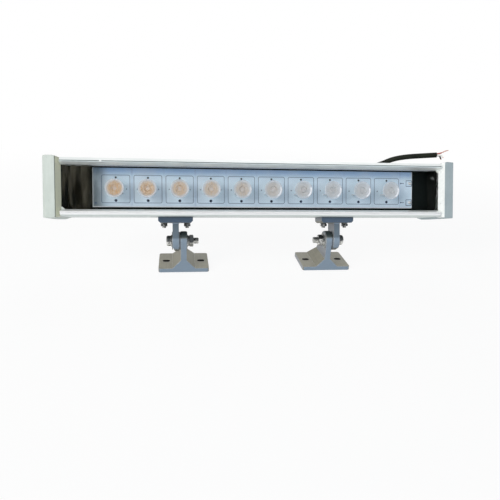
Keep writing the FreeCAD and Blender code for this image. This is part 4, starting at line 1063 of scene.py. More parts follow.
class Side(Enum):
    """The lamp's two ends, as factors on X."""

    LEFT = -1
    RIGHT = 1

    def named(self, piece: str) -> str:
        """The piece's name with the side before it."""
        return self.name.lower() + "_" + piece


@dataclass(frozen=True)
class Grid:
    """Points in rows and columns; every row closes on itself.

    Where ring is set, the last row joins the first. Elsewhere both ends are filled.
    """

    points: np.ndarray
    ring: bool = False

    def faces(self, offset: int) -> np.ndarray:
        """Corner numbers of the quads, counted from an offset.

        Args:
            offset: number of the grid's first point.

        Returns:
            array of shape (faces, 4).
        """
        rows, columns = self.points.shape[:2]
        lines = np.arange(rows if self.ring else rows - 1)
        line, step = np.meshgrid(lines, np.arange(columns), indexing="ij")
        below, beside = (line + 1) % rows, (step + 1) % columns
        quads = [line * columns + step, line * columns + beside,
                 below * columns + beside, below * columns + step]
        return np.stack([quad.ravel() for quad in quads], axis=-1) + offset


def surface(
    name: str,
    grids: Sequence[Grid],
    material: bpy.types.Material,
    smooth: float = 40.0,
) -> bpy.types.Object:
    """Piece from grids: doubles are merged, open ends filled, normals set outwards.

    Args:
        name: the piece's name.
        grids: its closed bodies, metres in the frame of the model.
        material: its material.
        smooth: angle up to which neighbouring faces are shaded smooth, degrees.

    Returns:
        The object, at the origin.
    """
    sizes = [grid.points.shape[0] * grid.points.shape[1] for grid in grids]
    starts = np.cumsum([0, *sizes[:-1]])
    points = np.concatenate([grid.points.reshape(-1, 3) for grid in grids])
    faces = np.concatenate([grid.faces(start) for grid, start in zip(grids, starts)])
    mesh = bpy.data.meshes.new(name)
    mesh.from_pydata(points.tolist(), [], faces.tolist())
    build = bmesh.new()
    build.from_mesh(mesh)
    bmesh.ops.remove_doubles(build, verts=build.verts, dist=2e-6)
    rims = [edge for edge in build.edges if edge.is_boundary]
    bmesh.ops.holes_fill(build, edges=rims, sides=0)
    bmesh.ops.recalc_face_normals(build, faces=build.faces)
    build.to_mesh(mesh)
    build.free()
    mesh.materials.append(material)
    piece = bpy.data.objects.new(name, mesh)
    bpy.context.scene.collection.objects.link(piece)
    mesh.shade_smooth()
    mesh.set_sharp_from_angle(angle=math.radians(smooth))
    return piece


def hexagon_radius(angles: np.ndarray, across_flats: float) -> np.ndarray:
    """Radius of a hexagon at each angle: half the flats' distance over the cosine of the angle
    from the nearest flat's middle."""
    nearest = (angles + math.pi / 6) % (math.pi / 3) - math.pi / 6
    return across_flats / 2 / np.cos(nearest)


@dataclass(frozen=True)
class Turning:
    """A body worked out round an axis, in rings.

    The axis starts at origin and runs along direction; side is where angle 0 points. All are in
    one of the two drawing frames, and place turns them into the frame of the model.
    """

    origin: tuple[float, float, float]
    direction: tuple[float, float, float]
    side: tuple[float, float, float]
    place: Callable[[np.ndarray], np.ndarray]
    columns: int = 48

    def angles(self) -> np.ndarray:
        """Angles of the columns."""
        return np.linspace(0.0, 2 * math.pi, self.columns, endpoint=False)

    def grid(self, rings: Sequence[tuple[Any, Any]], ring: bool = False) -> Grid:
        """Point at each ring and column: origin, plus the way along the axis, plus the radius
        times the turned side.

        Args:
            rings: radius and way along the axis of each ring, each a number or one per column.
            ring: the last ring joins the first.

        Returns:
            The grid, metres.
        """
        axis = np.array(self.direction, dtype=float)
        side = np.array(self.side, dtype=float)
        third = np.cross(axis, side)
        angles = self.angles()[None, :, None]
        reach = np.stack([np.broadcast_to(radius, self.columns) for radius, _ in rings])
        way = np.stack([np.broadcast_to(along, self.columns) for _, along in rings])
        turned = side * np.cos(angles) + third * np.sin(angles)
        spots = np.array(self.origin) + axis * way[..., None] + turned * reach[..., None]
        return Grid(self.place(spots), ring)


def spline_path(spots: np.ndarray) -> np.ndarray:
    """Points along the smooth curve of some control points, read from a curve without bevel.

    Args:
        spots: control points, metres.

    Returns:
        Points of shape (count, 3), metres.
    """
    curve = nurbs_curve("path", spots, 24)
    holder = bpy.data.objects.new("path", curve)
    mesh = bpy.data.meshes.new_from_object(holder)
    path = np.empty(len(mesh.vertices) * 3)
    mesh.vertices.foreach_get("co", path)
    bpy.data.objects.remove(holder)
    bpy.data.curves.remove(curve)
    bpy.data.meshes.remove(mesh)
    return path.reshape(-1, 3)


def nurbs_curve(name: str, spots: np.ndarray, resolution: int) -> bpy.types.Curve:
    """Smooth curve with the spots, in metres, as its control points.

    Args:
        name: the curve's name.
        spots: control points, metres.
        resolution: steps from one control point to the next.

    Returns:
        the curve.
    """
    curve = bpy.data.curves.new(name, "CURVE")
    curve.dimensions = "3D"
    line = curve.splines.new("NURBS")
    line.points.add(len(spots) - 1)
    line.points.foreach_set("co", np.c_[spots, np.ones(len(spots))].ravel())
    line.order_u = 3
    line.use_endpoint_u = True
    line.resolution_u = resolution
    return curve


def swept(path: np.ndarray, start: float, end: float, radii: np.ndarray, ring: bool) -> Grid:
    """Rings along a stretch of a path: each lies in the plane across the path's heading.

    Args:
        path: points of the path, metres.
        start: way along the path where the first ring lies, millimetres.
        end: the same for the last ring; with ring set, the rows run there and back.
        radii: array of shape (rows, columns), millimetres.
        ring: the last row joins the first.

    Returns:
        The grid, metres.
    """
    steps = np.linalg.norm(np.diff(path, axis=0), axis=1)
    ways = np.concatenate([[0.0], np.cumsum(steps)]) / MM
    rows, columns = radii.shape
    if ring:
        there = np.linspace(start, end, rows // 2)
        stops = np.concatenate([there, there[::-1]])
    else:
        stops = np.linspace(start, end, rows)
    spots = np.stack([np.interp(stops, ways, path[:, axis]) for axis in range(3)], axis=-1)
    ahead = np.stack([np.interp(stops + 0.4, ways, path[:, axis]) for axis in range(3)], -1)
    behind = np.stack([np.interp(stops - 0.4, ways, path[:, axis]) for axis in range(3)], -1)
    heading = ahead - behind
    heading /= np.linalg.norm(heading, axis=1, keepdims=True)
    across = np.cross(heading, (0.0, 0.0, 1.0))
    across /= np.linalg.norm(across, axis=1, keepdims=True)
    rise = np.cross(across, heading)
    angles = np.linspace(0.0, 2 * math.pi, columns, endpoint=False)[None, :, None]
    turned = across[:, None] * np.cos(angles) + rise[:, None] * np.sin(angles)
    return Grid(spots[:, None] + turned * radii[..., None] * MM, ring)


def ragged(count: int, seed: int, waves: int) -> np.ndarray:
    """Row of numbers between about -1 and 1: the sum of a few waves of random height and
    phase, always the same for a seed.

    Args:
        count: how many numbers.
        seed: chooses heights and phases.
        waves: how many waves are summed.

    Returns:
        the numbers.
    """
    source = np.random.default_rng(seed)
    steps = np.linspace(0.0, 2 * math.pi, count)[None, :]
    order = np.arange(1, waves + 1)[:, None]
    height = source.uniform(0.3, 1.0, (waves, 1)) / order ** 0.5
    phase = source.uniform(0.0, 2 * math.pi, (waves, 1))
    line = (height * np.sin(order * steps + phase)).sum(axis=0)
    return line / np.abs(line).max()


# ------------------------------------------------------------------ cable

@dataclass(frozen=True)
class Core:
    """One insulated core of the cable: its bends, cover and the copper at its end."""

    name: str
    bends: tuple[tuple[float, float, float], ...]
    cover: Finish
    slot: str
    bare: float               # length of bare copper, millimetres


@dataclass
class SupplyCable:
    """Short stiff cable out of the rear gland, with its bare-ended cores."""

    lamp: LampFrame
    wardrobe: Wardrobe
    diameter: float = 6.8
    mouth: tuple[float, float, float] = (35.0, 50.0, 9.186)
    route: tuple[tuple[float, float, float], ...] = (
        (0.0, 0.0, 0.0), (0.0, 14.0, 0.0), (3.7, 31.2, -0.6), (14.6, 45.4, -0.4),
        (31.2, 53.6, 1.2), (50.4, 53.6, 4.8), (69.5, 47.0, 9.6), (88.5, 36.8, 15.2),
        (106.5, 25.0, 21.0), (123.5, 12.5, 26.6), (147.5, -1.0, 32.8), (160.0, -12.5, 38.7),
        (176.3, -21.0, 40.9), (194.4, -28.0, 41.4), (213.1, -33.5, 42.0),
    )
    length: float = 275.7
    core: float = 1.9
    core_spread: float = 1.5
    core_straight: float = 3.4
    boot_length: float = 26.0
    boot_foot: float = 5.3    # radius at the gland's mouth
    boot_tip: float = 3.95
    jacket: Finish = Moulded(
        "cable_jacket", (0.008, 0.010, 0.007), (0.015, 0.018, 0.012), 0.50, 1500.0, 0.03, 0.0, 0.1,
    )
    cores: tuple[Core, ...] = (
        Core(
            "red", ((7.3, -2.2, 1.6), (11.1, -3.3, 3.7), (14.9, -4.4, 4.3)),
            Moulded("red_cover", (0.42, 0.10, 0.08), (0.52, 0.17, 0.13), 0.34, dust=0.0),
            "red_core", 9.5,
        ),
        Core(
            "black", ((4.6, -1.4, -1.2), (6.0, -1.8, -5.6)),
            Moulded("black_cover", (0.02, 0.02, 0.02), (0.03, 0.03, 0.03), 0.36, dust=0.0),
            "cable_jacket", 1.0,
        ),
        Core(
            "white", ((6.3, -1.8, -0.5), (8.2, -2.4, -3.7)),
            Moulded("cream_cover", (0.88, 0.85, 0.78), (0.94, 0.92, 0.88), 0.38, dust=0.0),
            "pale_core", 1.2,
        ),
    )

    def build(self) -> None:
        spots = np.array(self.mouth) + np.array(self.route)
        path = self.lamp.world(spots)
        cable = self.cord("supply_cable_jacket", path)
        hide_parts("supply_cable")
        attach(cable, "lamp")
        cores = [self.build_core(index, core, spots) for index, core in enumerate(self.cores)]
        strands = [self.build_strands(index, core, spots) for index, core in enumerate(self.cores)]
        boot = self.build_boot(spline_path(path))
        self.diameter * MM
        LOG.info("cable, %d cores and %s", len(cores), boot.name)

    def cord(self, name: str, path: np.ndarray) -> bpy.types.Object:
        """Round cord along the smooth curve whose control points are the path's.

        Args:
            name: the cord's name.
            path: control points, metres.

        Returns:
            the cord.
        """
        curve = nurbs_curve(name, path, 12)
        curve.bevel_depth = self.diameter / 2 * MM
        curve.bevel_resolution = 8
        curve.use_fill_caps = True
        curve.materials.append(self.wardrobe.material(self.jacket))
        cord = bpy.data.objects.new(name, curve)
        bpy.context.scene.collection.objects.link(cord)
        return cord

    def core_path(self, index: int, core: Core, spots: np.ndarray) -> np.ndarray:
        """Smooth line of a core: out of the cut jacket at its place round the middle, straight
        for a little, and then through its bends, metres.

        Args:
            index: the core's place round the middle.
            core: the core.
            spots: the cable's control points in the lamp's frame.

        Returns:
            points along the core.
        """
        heading = spots[-1] - spots[-2]
        heading = heading / np.linalg.norm(heading)
        side = np.cross(heading, (0.0, 0.0, 1.0))
        side = side / np.linalg.norm(side)
        rise = np.cross(side, heading)
        angle = math.radians(90 + 120 * index)
        spread = side * math.cos(angle) + rise * math.sin(angle)
        start = spots[-1] + spread * self.core_spread
        bends = [start + np.array(bend) for bend in core.bends]
        route = np.array([start - heading, start + heading * self.core_straight, *bends])
        return spline_path(self.lamp.world(route))

    @staticmethod
    def way(path: np.ndarray) -> float:
        """Length of a path, millimetres."""
        return float(np.linalg.norm(np.diff(path, axis=0), axis=1).sum() / MM)

    def build_core(self, index: int, core: Core, spots: np.ndarray) -> bpy.types.Object:
        """Insulation of one core, with a slightly shrunk cut end.

        Args:
            index: the core's place round the middle.
            core: the core.
            spots: the cable's control points in the lamp's frame.

        Returns:
            the piece.
        """
        path = self.core_path(index, core, spots)
        radii = np.full((40, 16), self.core / 2)
        radii[-1] *= 0.82
        end = self.way(path) - core.bare
        grid = swept(path, 0.0, end, radii, False)
        piece = surface(core.name + "_core", [grid], self.wardrobe.material(core.cover))
        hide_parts("core_" + core.name)
        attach(piece, "lamp")
        return piece

    def build_strands(self, index: int, core: Core, spots: np.ndarray) -> bpy.types.Object:
        """Bare strands out of a core's end: a twisted bundle, whose radius waves round the axis
        once for each strand and narrows to the tip.

        Args:
            index: the core's place round the middle.
            core: the core.
            spots: the cable's control points in the lamp's frame.

        Returns:
            the piece.
        """
        path = self.core_path(index, core, spots)
        end = self.way(path)
        start = end - core.bare - 0.4
        along = np.linspace(0.0, 1.0, 46)[:, None]
        angles = np.linspace(0.0, 2 * math.pi, 30, endpoint=False)[None, :]
        wave = np.cos(5 * angles + along * core.bare * 1.9)
        radii = 0.60 + 0.12 * wave - 0.22 * along ** 4
        grid = swept(path, start, end, radii, False)
        copper = self.wardrobe.material(StrandedCopper("bare_copper"))
        strands = surface(core.name + "_strands", [grid], copper)
        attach(strands, "lamp")
        return strands

    def build_boot(self, path: np.ndarray) -> bpy.types.Object:
        """Ribbed rubber boot along the cable: its radius falls from foot to tip, less a shallow
        groove every 2.4 mm.

        Args:
            path: points along the cable, metres.

        Returns:
            the boot.
        """
        share = np.linspace(0.0, 1.0, 131)
        taper = self.boot_foot + (self.boot_tip - self.boot_foot) * share ** 0.8
        groove = 0.40 * (np.sin(share * self.boot_length * math.pi / 1.2) > 0.25) * (share > 0.06)
        outer = taper - groove * (share < 0.94)
        inner = np.full(131, self.diameter / 2 + 0.05)
        radii = np.repeat(np.concatenate([outer, inner])[:, None], 36, axis=1)
        rubber = self.wardrobe.material(Moulded("boot_rubber", roughness=0.6))
        grid = swept(path, 0.0, self.boot_length, radii, True)
        boot = surface("cable_boot", [grid], rubber)
        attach(boot, "lamp")
        return boot


# ------------------------------------------------------------------ lamp

@dataclass
class Optics:
    """Row of collimator lenses over the LEDs."""

    lamp: LampFrame
    wardrobe: Wardrobe
    count: int = 10
    first: float = -172.0
    pitch: float = 38.0
    rim: float = 11.0         # radii from here on
    rim_back: float = 9.8
    foot: float = 5.0
    cavity: float = 2.7
    dish: float = 4.0
    dish_floor: float = 3.2
    leg: float = 0.9
    leg_reach: float = 9.8
    height: float = 15.0      # heights ahead of the board
    rim_start: float = 13.5
    foot_start: float = 1.2
    cavity_end: float = 5.7
    dish_depth: float = 2.0
    flutes: int = 36

    def build(self) -> None:
        """Makes every lens in place of its node."""
        for index in range(self.count):
            self.build_lens(index)
        LOG.info("%d lenses", self.count)

    def build_lens(self, index: int) -> None:
        """One lens with its three legs.

        Args:
            index: number of the lens from the left, from 0.
        """
        middle = self.first + self.pitch * index
        body = Turning((middle, 0, 0), (0, -1, 0), (0, 0, 1), self.lamp.world, 72)
        grids = [body.grid(self.rings(body.angles()))]
        for turn in range(3):
            angle = math.radians(90 + 120 * turn)
            spot = (
                middle + self.leg_reach * math.cos(angle), 0,
                self.leg_reach * math.sin(angle),
            )
            pin = Turning(spot, (0, -1, 0), (0, 0, 1), self.lamp.world, 14)
            ways = np.linspace(0.0, self.rim_start, 8)
            radii = self.leg * (0.86 + 0.14 * ways / self.rim_start)
            grids.append(pin.grid([(0, 0), *zip(radii, ways), (0, self.rim_start)]))
        material = self.wardrobe.material(OpticClear("clear_acrylic"))
        lens = surface("optic_%02d" % (index + 1), grids, material)
        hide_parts("lens_%02d" % (index + 1))
        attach(lens, "lamp")

    def rings(self, angles: np.ndarray) -> list[tuple[Any, Any]]:
        """Rings from the LED cavity's crown, down its wall, out along the fluted reflector, round
        the rim and over the face into the dish.

        The cavity's crown and the dish's floor are shallow parabolas. The reflector's radius
        grows with a power of the height, and its flutes are a cosine of the angle.

        Args:
            angles: angles of the columns.

        Returns:
            radius and height of each ring.
        """
        rings: list[tuple[Any, Any]] = []
        for share in np.linspace(0.0, 1.0, 5):
            rings.append((self.cavity * share, self.cavity_end - 0.9 * share ** 2))
        rings += [(self.cavity, self.foot_start), (self.foot, self.foot_start)]
        for share in np.linspace(0.04, 1.0, 18):
            flute = 0.10 * np.cos(self.flutes * angles) * math.sin(math.pi * share)
            radius = self.foot + (self.rim_back - self.foot) * share ** 0.62 + flute
            way = self.foot_start + (self.rim_start - self.foot_start) * share
            rings.append((radius, way))
        rings += [(self.rim - 0.15, self.rim_start), (self.rim, self.rim_start + 0.15)]
        for share in np.linspace(0.0, math.pi / 2, 4):
            rings.append((
                self.rim - 0.3 + 0.3 * math.cos(share),
                self.height - 0.3 + 0.3 * math.sin(share),
            ))
        for radius in np.linspace(self.rim - 0.9, self.dish + 0.2, 8):
            rings.append((radius, self.height - 0.02))
        rings.append((self.dish, self.height - 0.15))
        floor = self.height - self.dish_depth
        rings.append((self.dish_floor, floor))
        for share in np.linspace(0.8, 0.0, 5):
            rings.append((self.dish_floor * share, floor + 0.4 * (1 - share ** 2)))
        return rings


@dataclass
class Sealing:
    """Black sealant at the window's ends, pale sealant in two of its corners, and the solder on
    the board's pads."""

    lamp: LampFrame
    wardrobe: Wardrobe
    tongue: float = 230.0     # X of the cap tongues' tips
    fill_end: float = 230.6
    window: float = 25.5      # half height of the window
    glass_front: float = -20.4
    glass_back: float = -16.4
    tray_face: float = 0.5
    pads: tuple[float, float] = (10.5, -14.3)
    pad_middle: float = 202.1

    def build(self) -> None:
        """Makes all of it."""
        black = self.wardrobe.material(Moulded(
            "black_sealant", (0.005, 0.007, 0.006), (0.012, 0.014, 0.012), 0.55, 500.0, 0.12,
            0.02, 0.1,
        ))
        for side in Side:
            self.piece(side.named("end_sealant"), [self.end_fill(side)], black)
            self.piece(side.named("window_bead"), [self.bead(side)], black)
        pale = self.wardrobe.material(Moulded(
            "pale_sealant", (0.72, 0.76, 0.72), (0.82, 0.85, 0.80), 0.42, 400.0, 0.10, 0.0, 0.3,
        ))
        corner = self.corner(Side.RIGHT, 1, 6.2, 1.0)
        self.piece("right_corner_sealant", [corner], pale)
        corner = self.corner(Side.LEFT, -1, 4.6, 0.12)
        self.piece("left_corner_sealant", [corner], pale)
        solder = self.wardrobe.material(Solder("solder"))
        self.piece("solder_joints", [self.solder(level) for level in self.pads], solder, "steel")
        LOG.info("sealant and solder")

    @staticmethod
    def piece(
        name: str, grids: Sequence[Grid], material: bpy.types.Material, slot: str = "black_rubber",
    ) -> None:
        """A piece of the lamp from its grids.

        Args:
            name: the piece's name.
            grids: its closed bodies.
            material: its material.
            slot: not used.
        """
        made = surface(name, grids, material, 60.0)
        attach(made, "lamp")

    def end_fill(self, side: Side) -> Grid:
        """Sealant between the tray's end and the cap: a section that widens with the square of
        its way back from the glass, wavy up the window.

        Args:
            side: which end.

        Returns:
            the grid.
        """
        rows, steps = 90, 10
        height = np.linspace(-self.window - 3.0, self.window + 3.0, rows)[:, None]
        share = np.linspace(0.0, 1.0, steps)[None, :]
        wave = ragged(rows, 5 + side.value, 9)[:, None]
        inner = self.fill_end - 1.2 - (2.6 + 0.5 * wave) * share ** 2
        depth = self.glass_back + 0.1 + (self.tray_face - self.glass_back - 0.2) * share
        front = np.stack(np.broadcast_arrays(side.value * inner, depth, height), axis=-1)
        back = front[:, ::-1].copy()
        back[..., 0] = side.value * self.fill_end
        return Grid(self.lamp.world(np.concatenate([front, back], axis=1)))

    def bead(self, side: Side) -> Grid:
        """Ragged line of sealant where the glass meets the cap's tongue: an oval section whose
        width and place wander up the window.

        Args:
            side: which end.

        Returns:
            the grid.
        """
        rows, columns = 220, 12
        height = np.linspace(-self.window + 0.4, self.window - 0.4, rows)[:, None]
        angle = np.linspace(0.0, 2 * math.pi, columns, endpoint=False)[None, :]
        coarse = ragged(rows, 21 + side.value, 12)[:, None]
        fine = ragged(rows, 31 + side.value, 60)[:, None]
        width = 0.75 + 0.30 * coarse + 0.22 * fine
        middle = self.tongue + 0.05 + 0.22 * fine
        across = side.value * (middle + width * np.cos(angle))
        depth = self.glass_front - 0.05 - (0.30 + 0.12 * coarse) * np.abs(np.sin(angle)) * np.sign(
            np.sin(angle))
        spots = np.stack(np.broadcast_arrays(across, depth, height), axis=-1)
        return Grid(self.lamp.world(spots))

    def corner(self, side: Side, upward: int, reach: float, hollow: float) -> Grid:
        """Patch that fills a corner of the window: rays from the corner to a hollow edge, thin
        at that edge.

        Args:
            side: which end.
            upward: 1 for the upper corner, -1 for the lower one.
            reach: how far it runs along both edges.
            hollow: 1 for a round hollow edge, 0 for a straight one.

        Returns:
            The grid.
        """
        turn = np.linspace(0.0, math.pi / 2, 14)
        round_u, round_v = reach * (1 - np.sin(turn)), reach * (1 - np.cos(turn))
        straight_u = reach * (1 - turn / (math.pi / 2))
        edge_u = hollow * round_u + (1 - hollow) * straight_u
        edge_v = hollow * round_v + (1 - hollow) * (reach - straight_u)
        share = np.linspace(0.02, 1.0, 8)[:, None]
        across = side.value * (self.tongue + 0.4 - edge_u[None, :] * share)
        height = upward * (self.window + 0.2 - edge_v[None, :] * share)
        rise = 0.9 * (1.02 - share) ** 0.7 + 0.12
        top = np.stack(np.broadcast_arrays(across, self.glass_front - rise, height), axis=-1)
        foot = top[:, ::-1].copy()
        foot[..., 1] = self.glass_front - 0.02
        return Grid(self.lamp.world(np.concatenate([top, foot], axis=1)))

    def solder(self, level: float) -> Grid:
        """Mound of solder on a pad: its height falls as a dome, and its outline waves twice and
        three times round.

        Args:
            level: height of the pad.

        Returns:
            the grid.
        """
        mound = Turning((self.pad_middle, 0, level), (0, -1, 0), (1, 0, 0), self.lamp.world, 32)
        angles = mound.angles()
        outline = 2.2 * (1 + 0.14 * np.cos(2 * angles + 0.6) + 0.08 * np.cos(3 * angles + level))
        rings = [(0, 1.3)]
        for share in np.linspace(0.15, 1.0, 9):
            rings.append((outline * share, 0.03 + 1.27 * (1 - share ** 2) ** 0.7))
        rings.append((0, 0.01))
        return mound.grid(rings)


@dataclass
class CableGland:
    """Dome nut of the gland in the rear wall."""

    lamp: LampFrame
    wardrobe: Wardrobe
    start: tuple[float, float, float] = (35.0, 34.0, 9.186)
    flats: float = 20.0
    straight: float = 6.5     # length of the hexagon
    length: float = 16.0
    bore: float = 3.5
    mouth: float = 5.5        # radius of the dome's end
    swell: float = 6.1        # what the dome adds to it at the hexagon
    ribs: int = 36
    rib_depth: float = 0.22

    def build(self) -> None:
        """Hexagon that rounds off to the mouth: each radius is the smaller of the hexagon's and
        the dome's, with fine grip ribs on the straight part."""
        turning = Turning(self.start, (0, 1, 0), (0, 0, 1), self.lamp.world, 144)
        angles = turning.angles()
        hexagon = hexagon_radius(angles, self.flats)
        rings: list[tuple[Any, Any]] = [(self.bore, 0.0)]
        for way in np.linspace(0.0, self.length, 65):
            dome = self.dome(float(way))
            edge = 0.5 * max(0.0, 1.0 - way / 0.6)
            ribbed = 0.9 < way < self.straight - 0.4
            rib = self.rib_depth * (np.cos(self.ribs * angles) > 0.1) * ribbed
            rings.append((np.minimum(hexagon, dome) - rib - edge, way))
        rings.append((self.bore, self.length))
        nylon = self.wardrobe.material(GLAND_NYLON)
        nut = surface("gland_dome", [turning.grid(rings, True)], nylon, 30.0)
        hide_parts("gland_nut")
        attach(nut, "lamp")
        LOG.info("gland")

    def dome(self, way: float) -> float:
        """Radius of the dome along the nut: a quarter wave from the hexagon's corners to the
        mouth."""
        over = max(0.0, way - self.straight) / (self.length - self.straight)
        return self.mouth + self.swell * math.cos(over * math.pi / 2) ** 0.9


@dataclass
class LampBody:
    """Housing, caps, gaskets, glass, board, driver and gland."""

    lamp: LampFrame
    wardrobe: Wardrobe

    def build(self) -> None:
        """Dresses the lamp's nodes."""
        dress, pair = self.wardrobe.dress, self.wardrobe.dress_pair
        dress(Anodised("housing_metal"), "housing")
        # One paint on both caps: the right cap's copy is darker, painted shade, with a white bevel
        # as painted highlight; the left cap has an olive bevel in painted shade and a painted
        # shadow line on its ridge.
        dress(PaintedCasting("left_cap_paint", ridge_shadow=0.75), "left_end_cap")
        dress(PaintedCasting(
            "right_cap_paint", (0.47, 0.54, 0.555), (0.40, 0.47, 0.49), (0.96, 0.98, 0.97),
        ), "right_end_cap")
        pair(Moulded("gasket_rubber", roughness=0.7), "cap_gasket")
        dress(ClearPane("pane"), "front_glass")
        dress(Moulded("seal_rubber", (0.004, 0.005, 0.004), (0.008, 0.009, 0.008)), "glass_seal")
        dress(Tray("tray_black"), "board_tray")
        dress(BoardPrint("board_print"), "led_board")
        dress(Moulded("heat_pad", (0.02, 0.022, 0.03), (0.03, 0.03, 0.04)), "thermal_pad")
        dress(Phosphor("phosphor"), "led_emitters")
        dress(Moulded("driver_case", (0.03, 0.03, 0.035)), "driver")
        wire = Moulded("wire_cover", (0.45, 0.05, 0.04), (0.52, 0.08, 0.06), 0.35)
        dress(wire, "board_leads", "driver_input_cores")
        dress(GLAND_NYLON, "gland_body", "gland_locknut")
        dress(Moulded("gland_rubber", roughness=0.65), "gland_washer", "gland_sleeve")
        dress(Moulded("inner_jacket"), "inner_cable")
        LOG.info("lamp body")


@dataclass
class CapScrews:
    """Four socket screws in an end cap."""

    lamp: LampFrame
    wardrobe: Wardrobe
    side: Side
    depths: tuple[float, float] = (7.2, 24.5)
    level: float = 28.15
    face: float = 249.9
    head_start: float = 247.4
    shank_end: float = 221.4
    head: float = 3.5
    shank: float = 1.65
    socket: float = 2.5
    socket_floor: float = 248.4

    def build(self) -> None:
        """Makes the screws in place of their node."""
        grids = [self.screw(depth, level * self.level)
                 for depth in self.depths for level in (1, -1)]
        steel = self.wardrobe.material(TurnedSteel("screw_steel", dark=(0.22, 0.22, 0.22)))
        piece = surface(self.side.named("cap_socket_screws"), grids, steel, 30.0)
        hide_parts(self.side.named("cap_screws"))
        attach(piece, "lamp")

    def screw(self, depth: float, height: float) -> Grid:
        """Shank, head with a rounded edge, and hexagon socket.

        Args:
            depth: its place in the lamp's depth.
            height: its height.

        Returns:
            the grid.
        """
        turning = Turning((0, depth, height), (1, 0, 0), (0, 0, 1), self.place, 36)
        socket = hexagon_radius(turning.angles(), self.socket)
        return turning.grid([
            (0, self.shank_end), (self.shank, self.shank_end + 0.8),
            (self.shank, self.head_start), (self.head, self.head_start),
            (self.head, self.face - 0.5), (self.head - 0.15, self.face - 0.15),
            (self.head - 0.5, self.face), (socket + 0.15, self.face),
            (socket, self.face - 0.15), (socket, self.socket_floor),
            (0, self.socket_floor - 0.5),
        ])

    def place(self, spots: np.ndarray) -> np.ndarray:
        """Points of the right end, on this side, in the frame of the model."""
        return self.lamp.world(spots * np.array([self.side.value, 1.0, 1.0]))


# ------------------------------------------------------------------ brackets

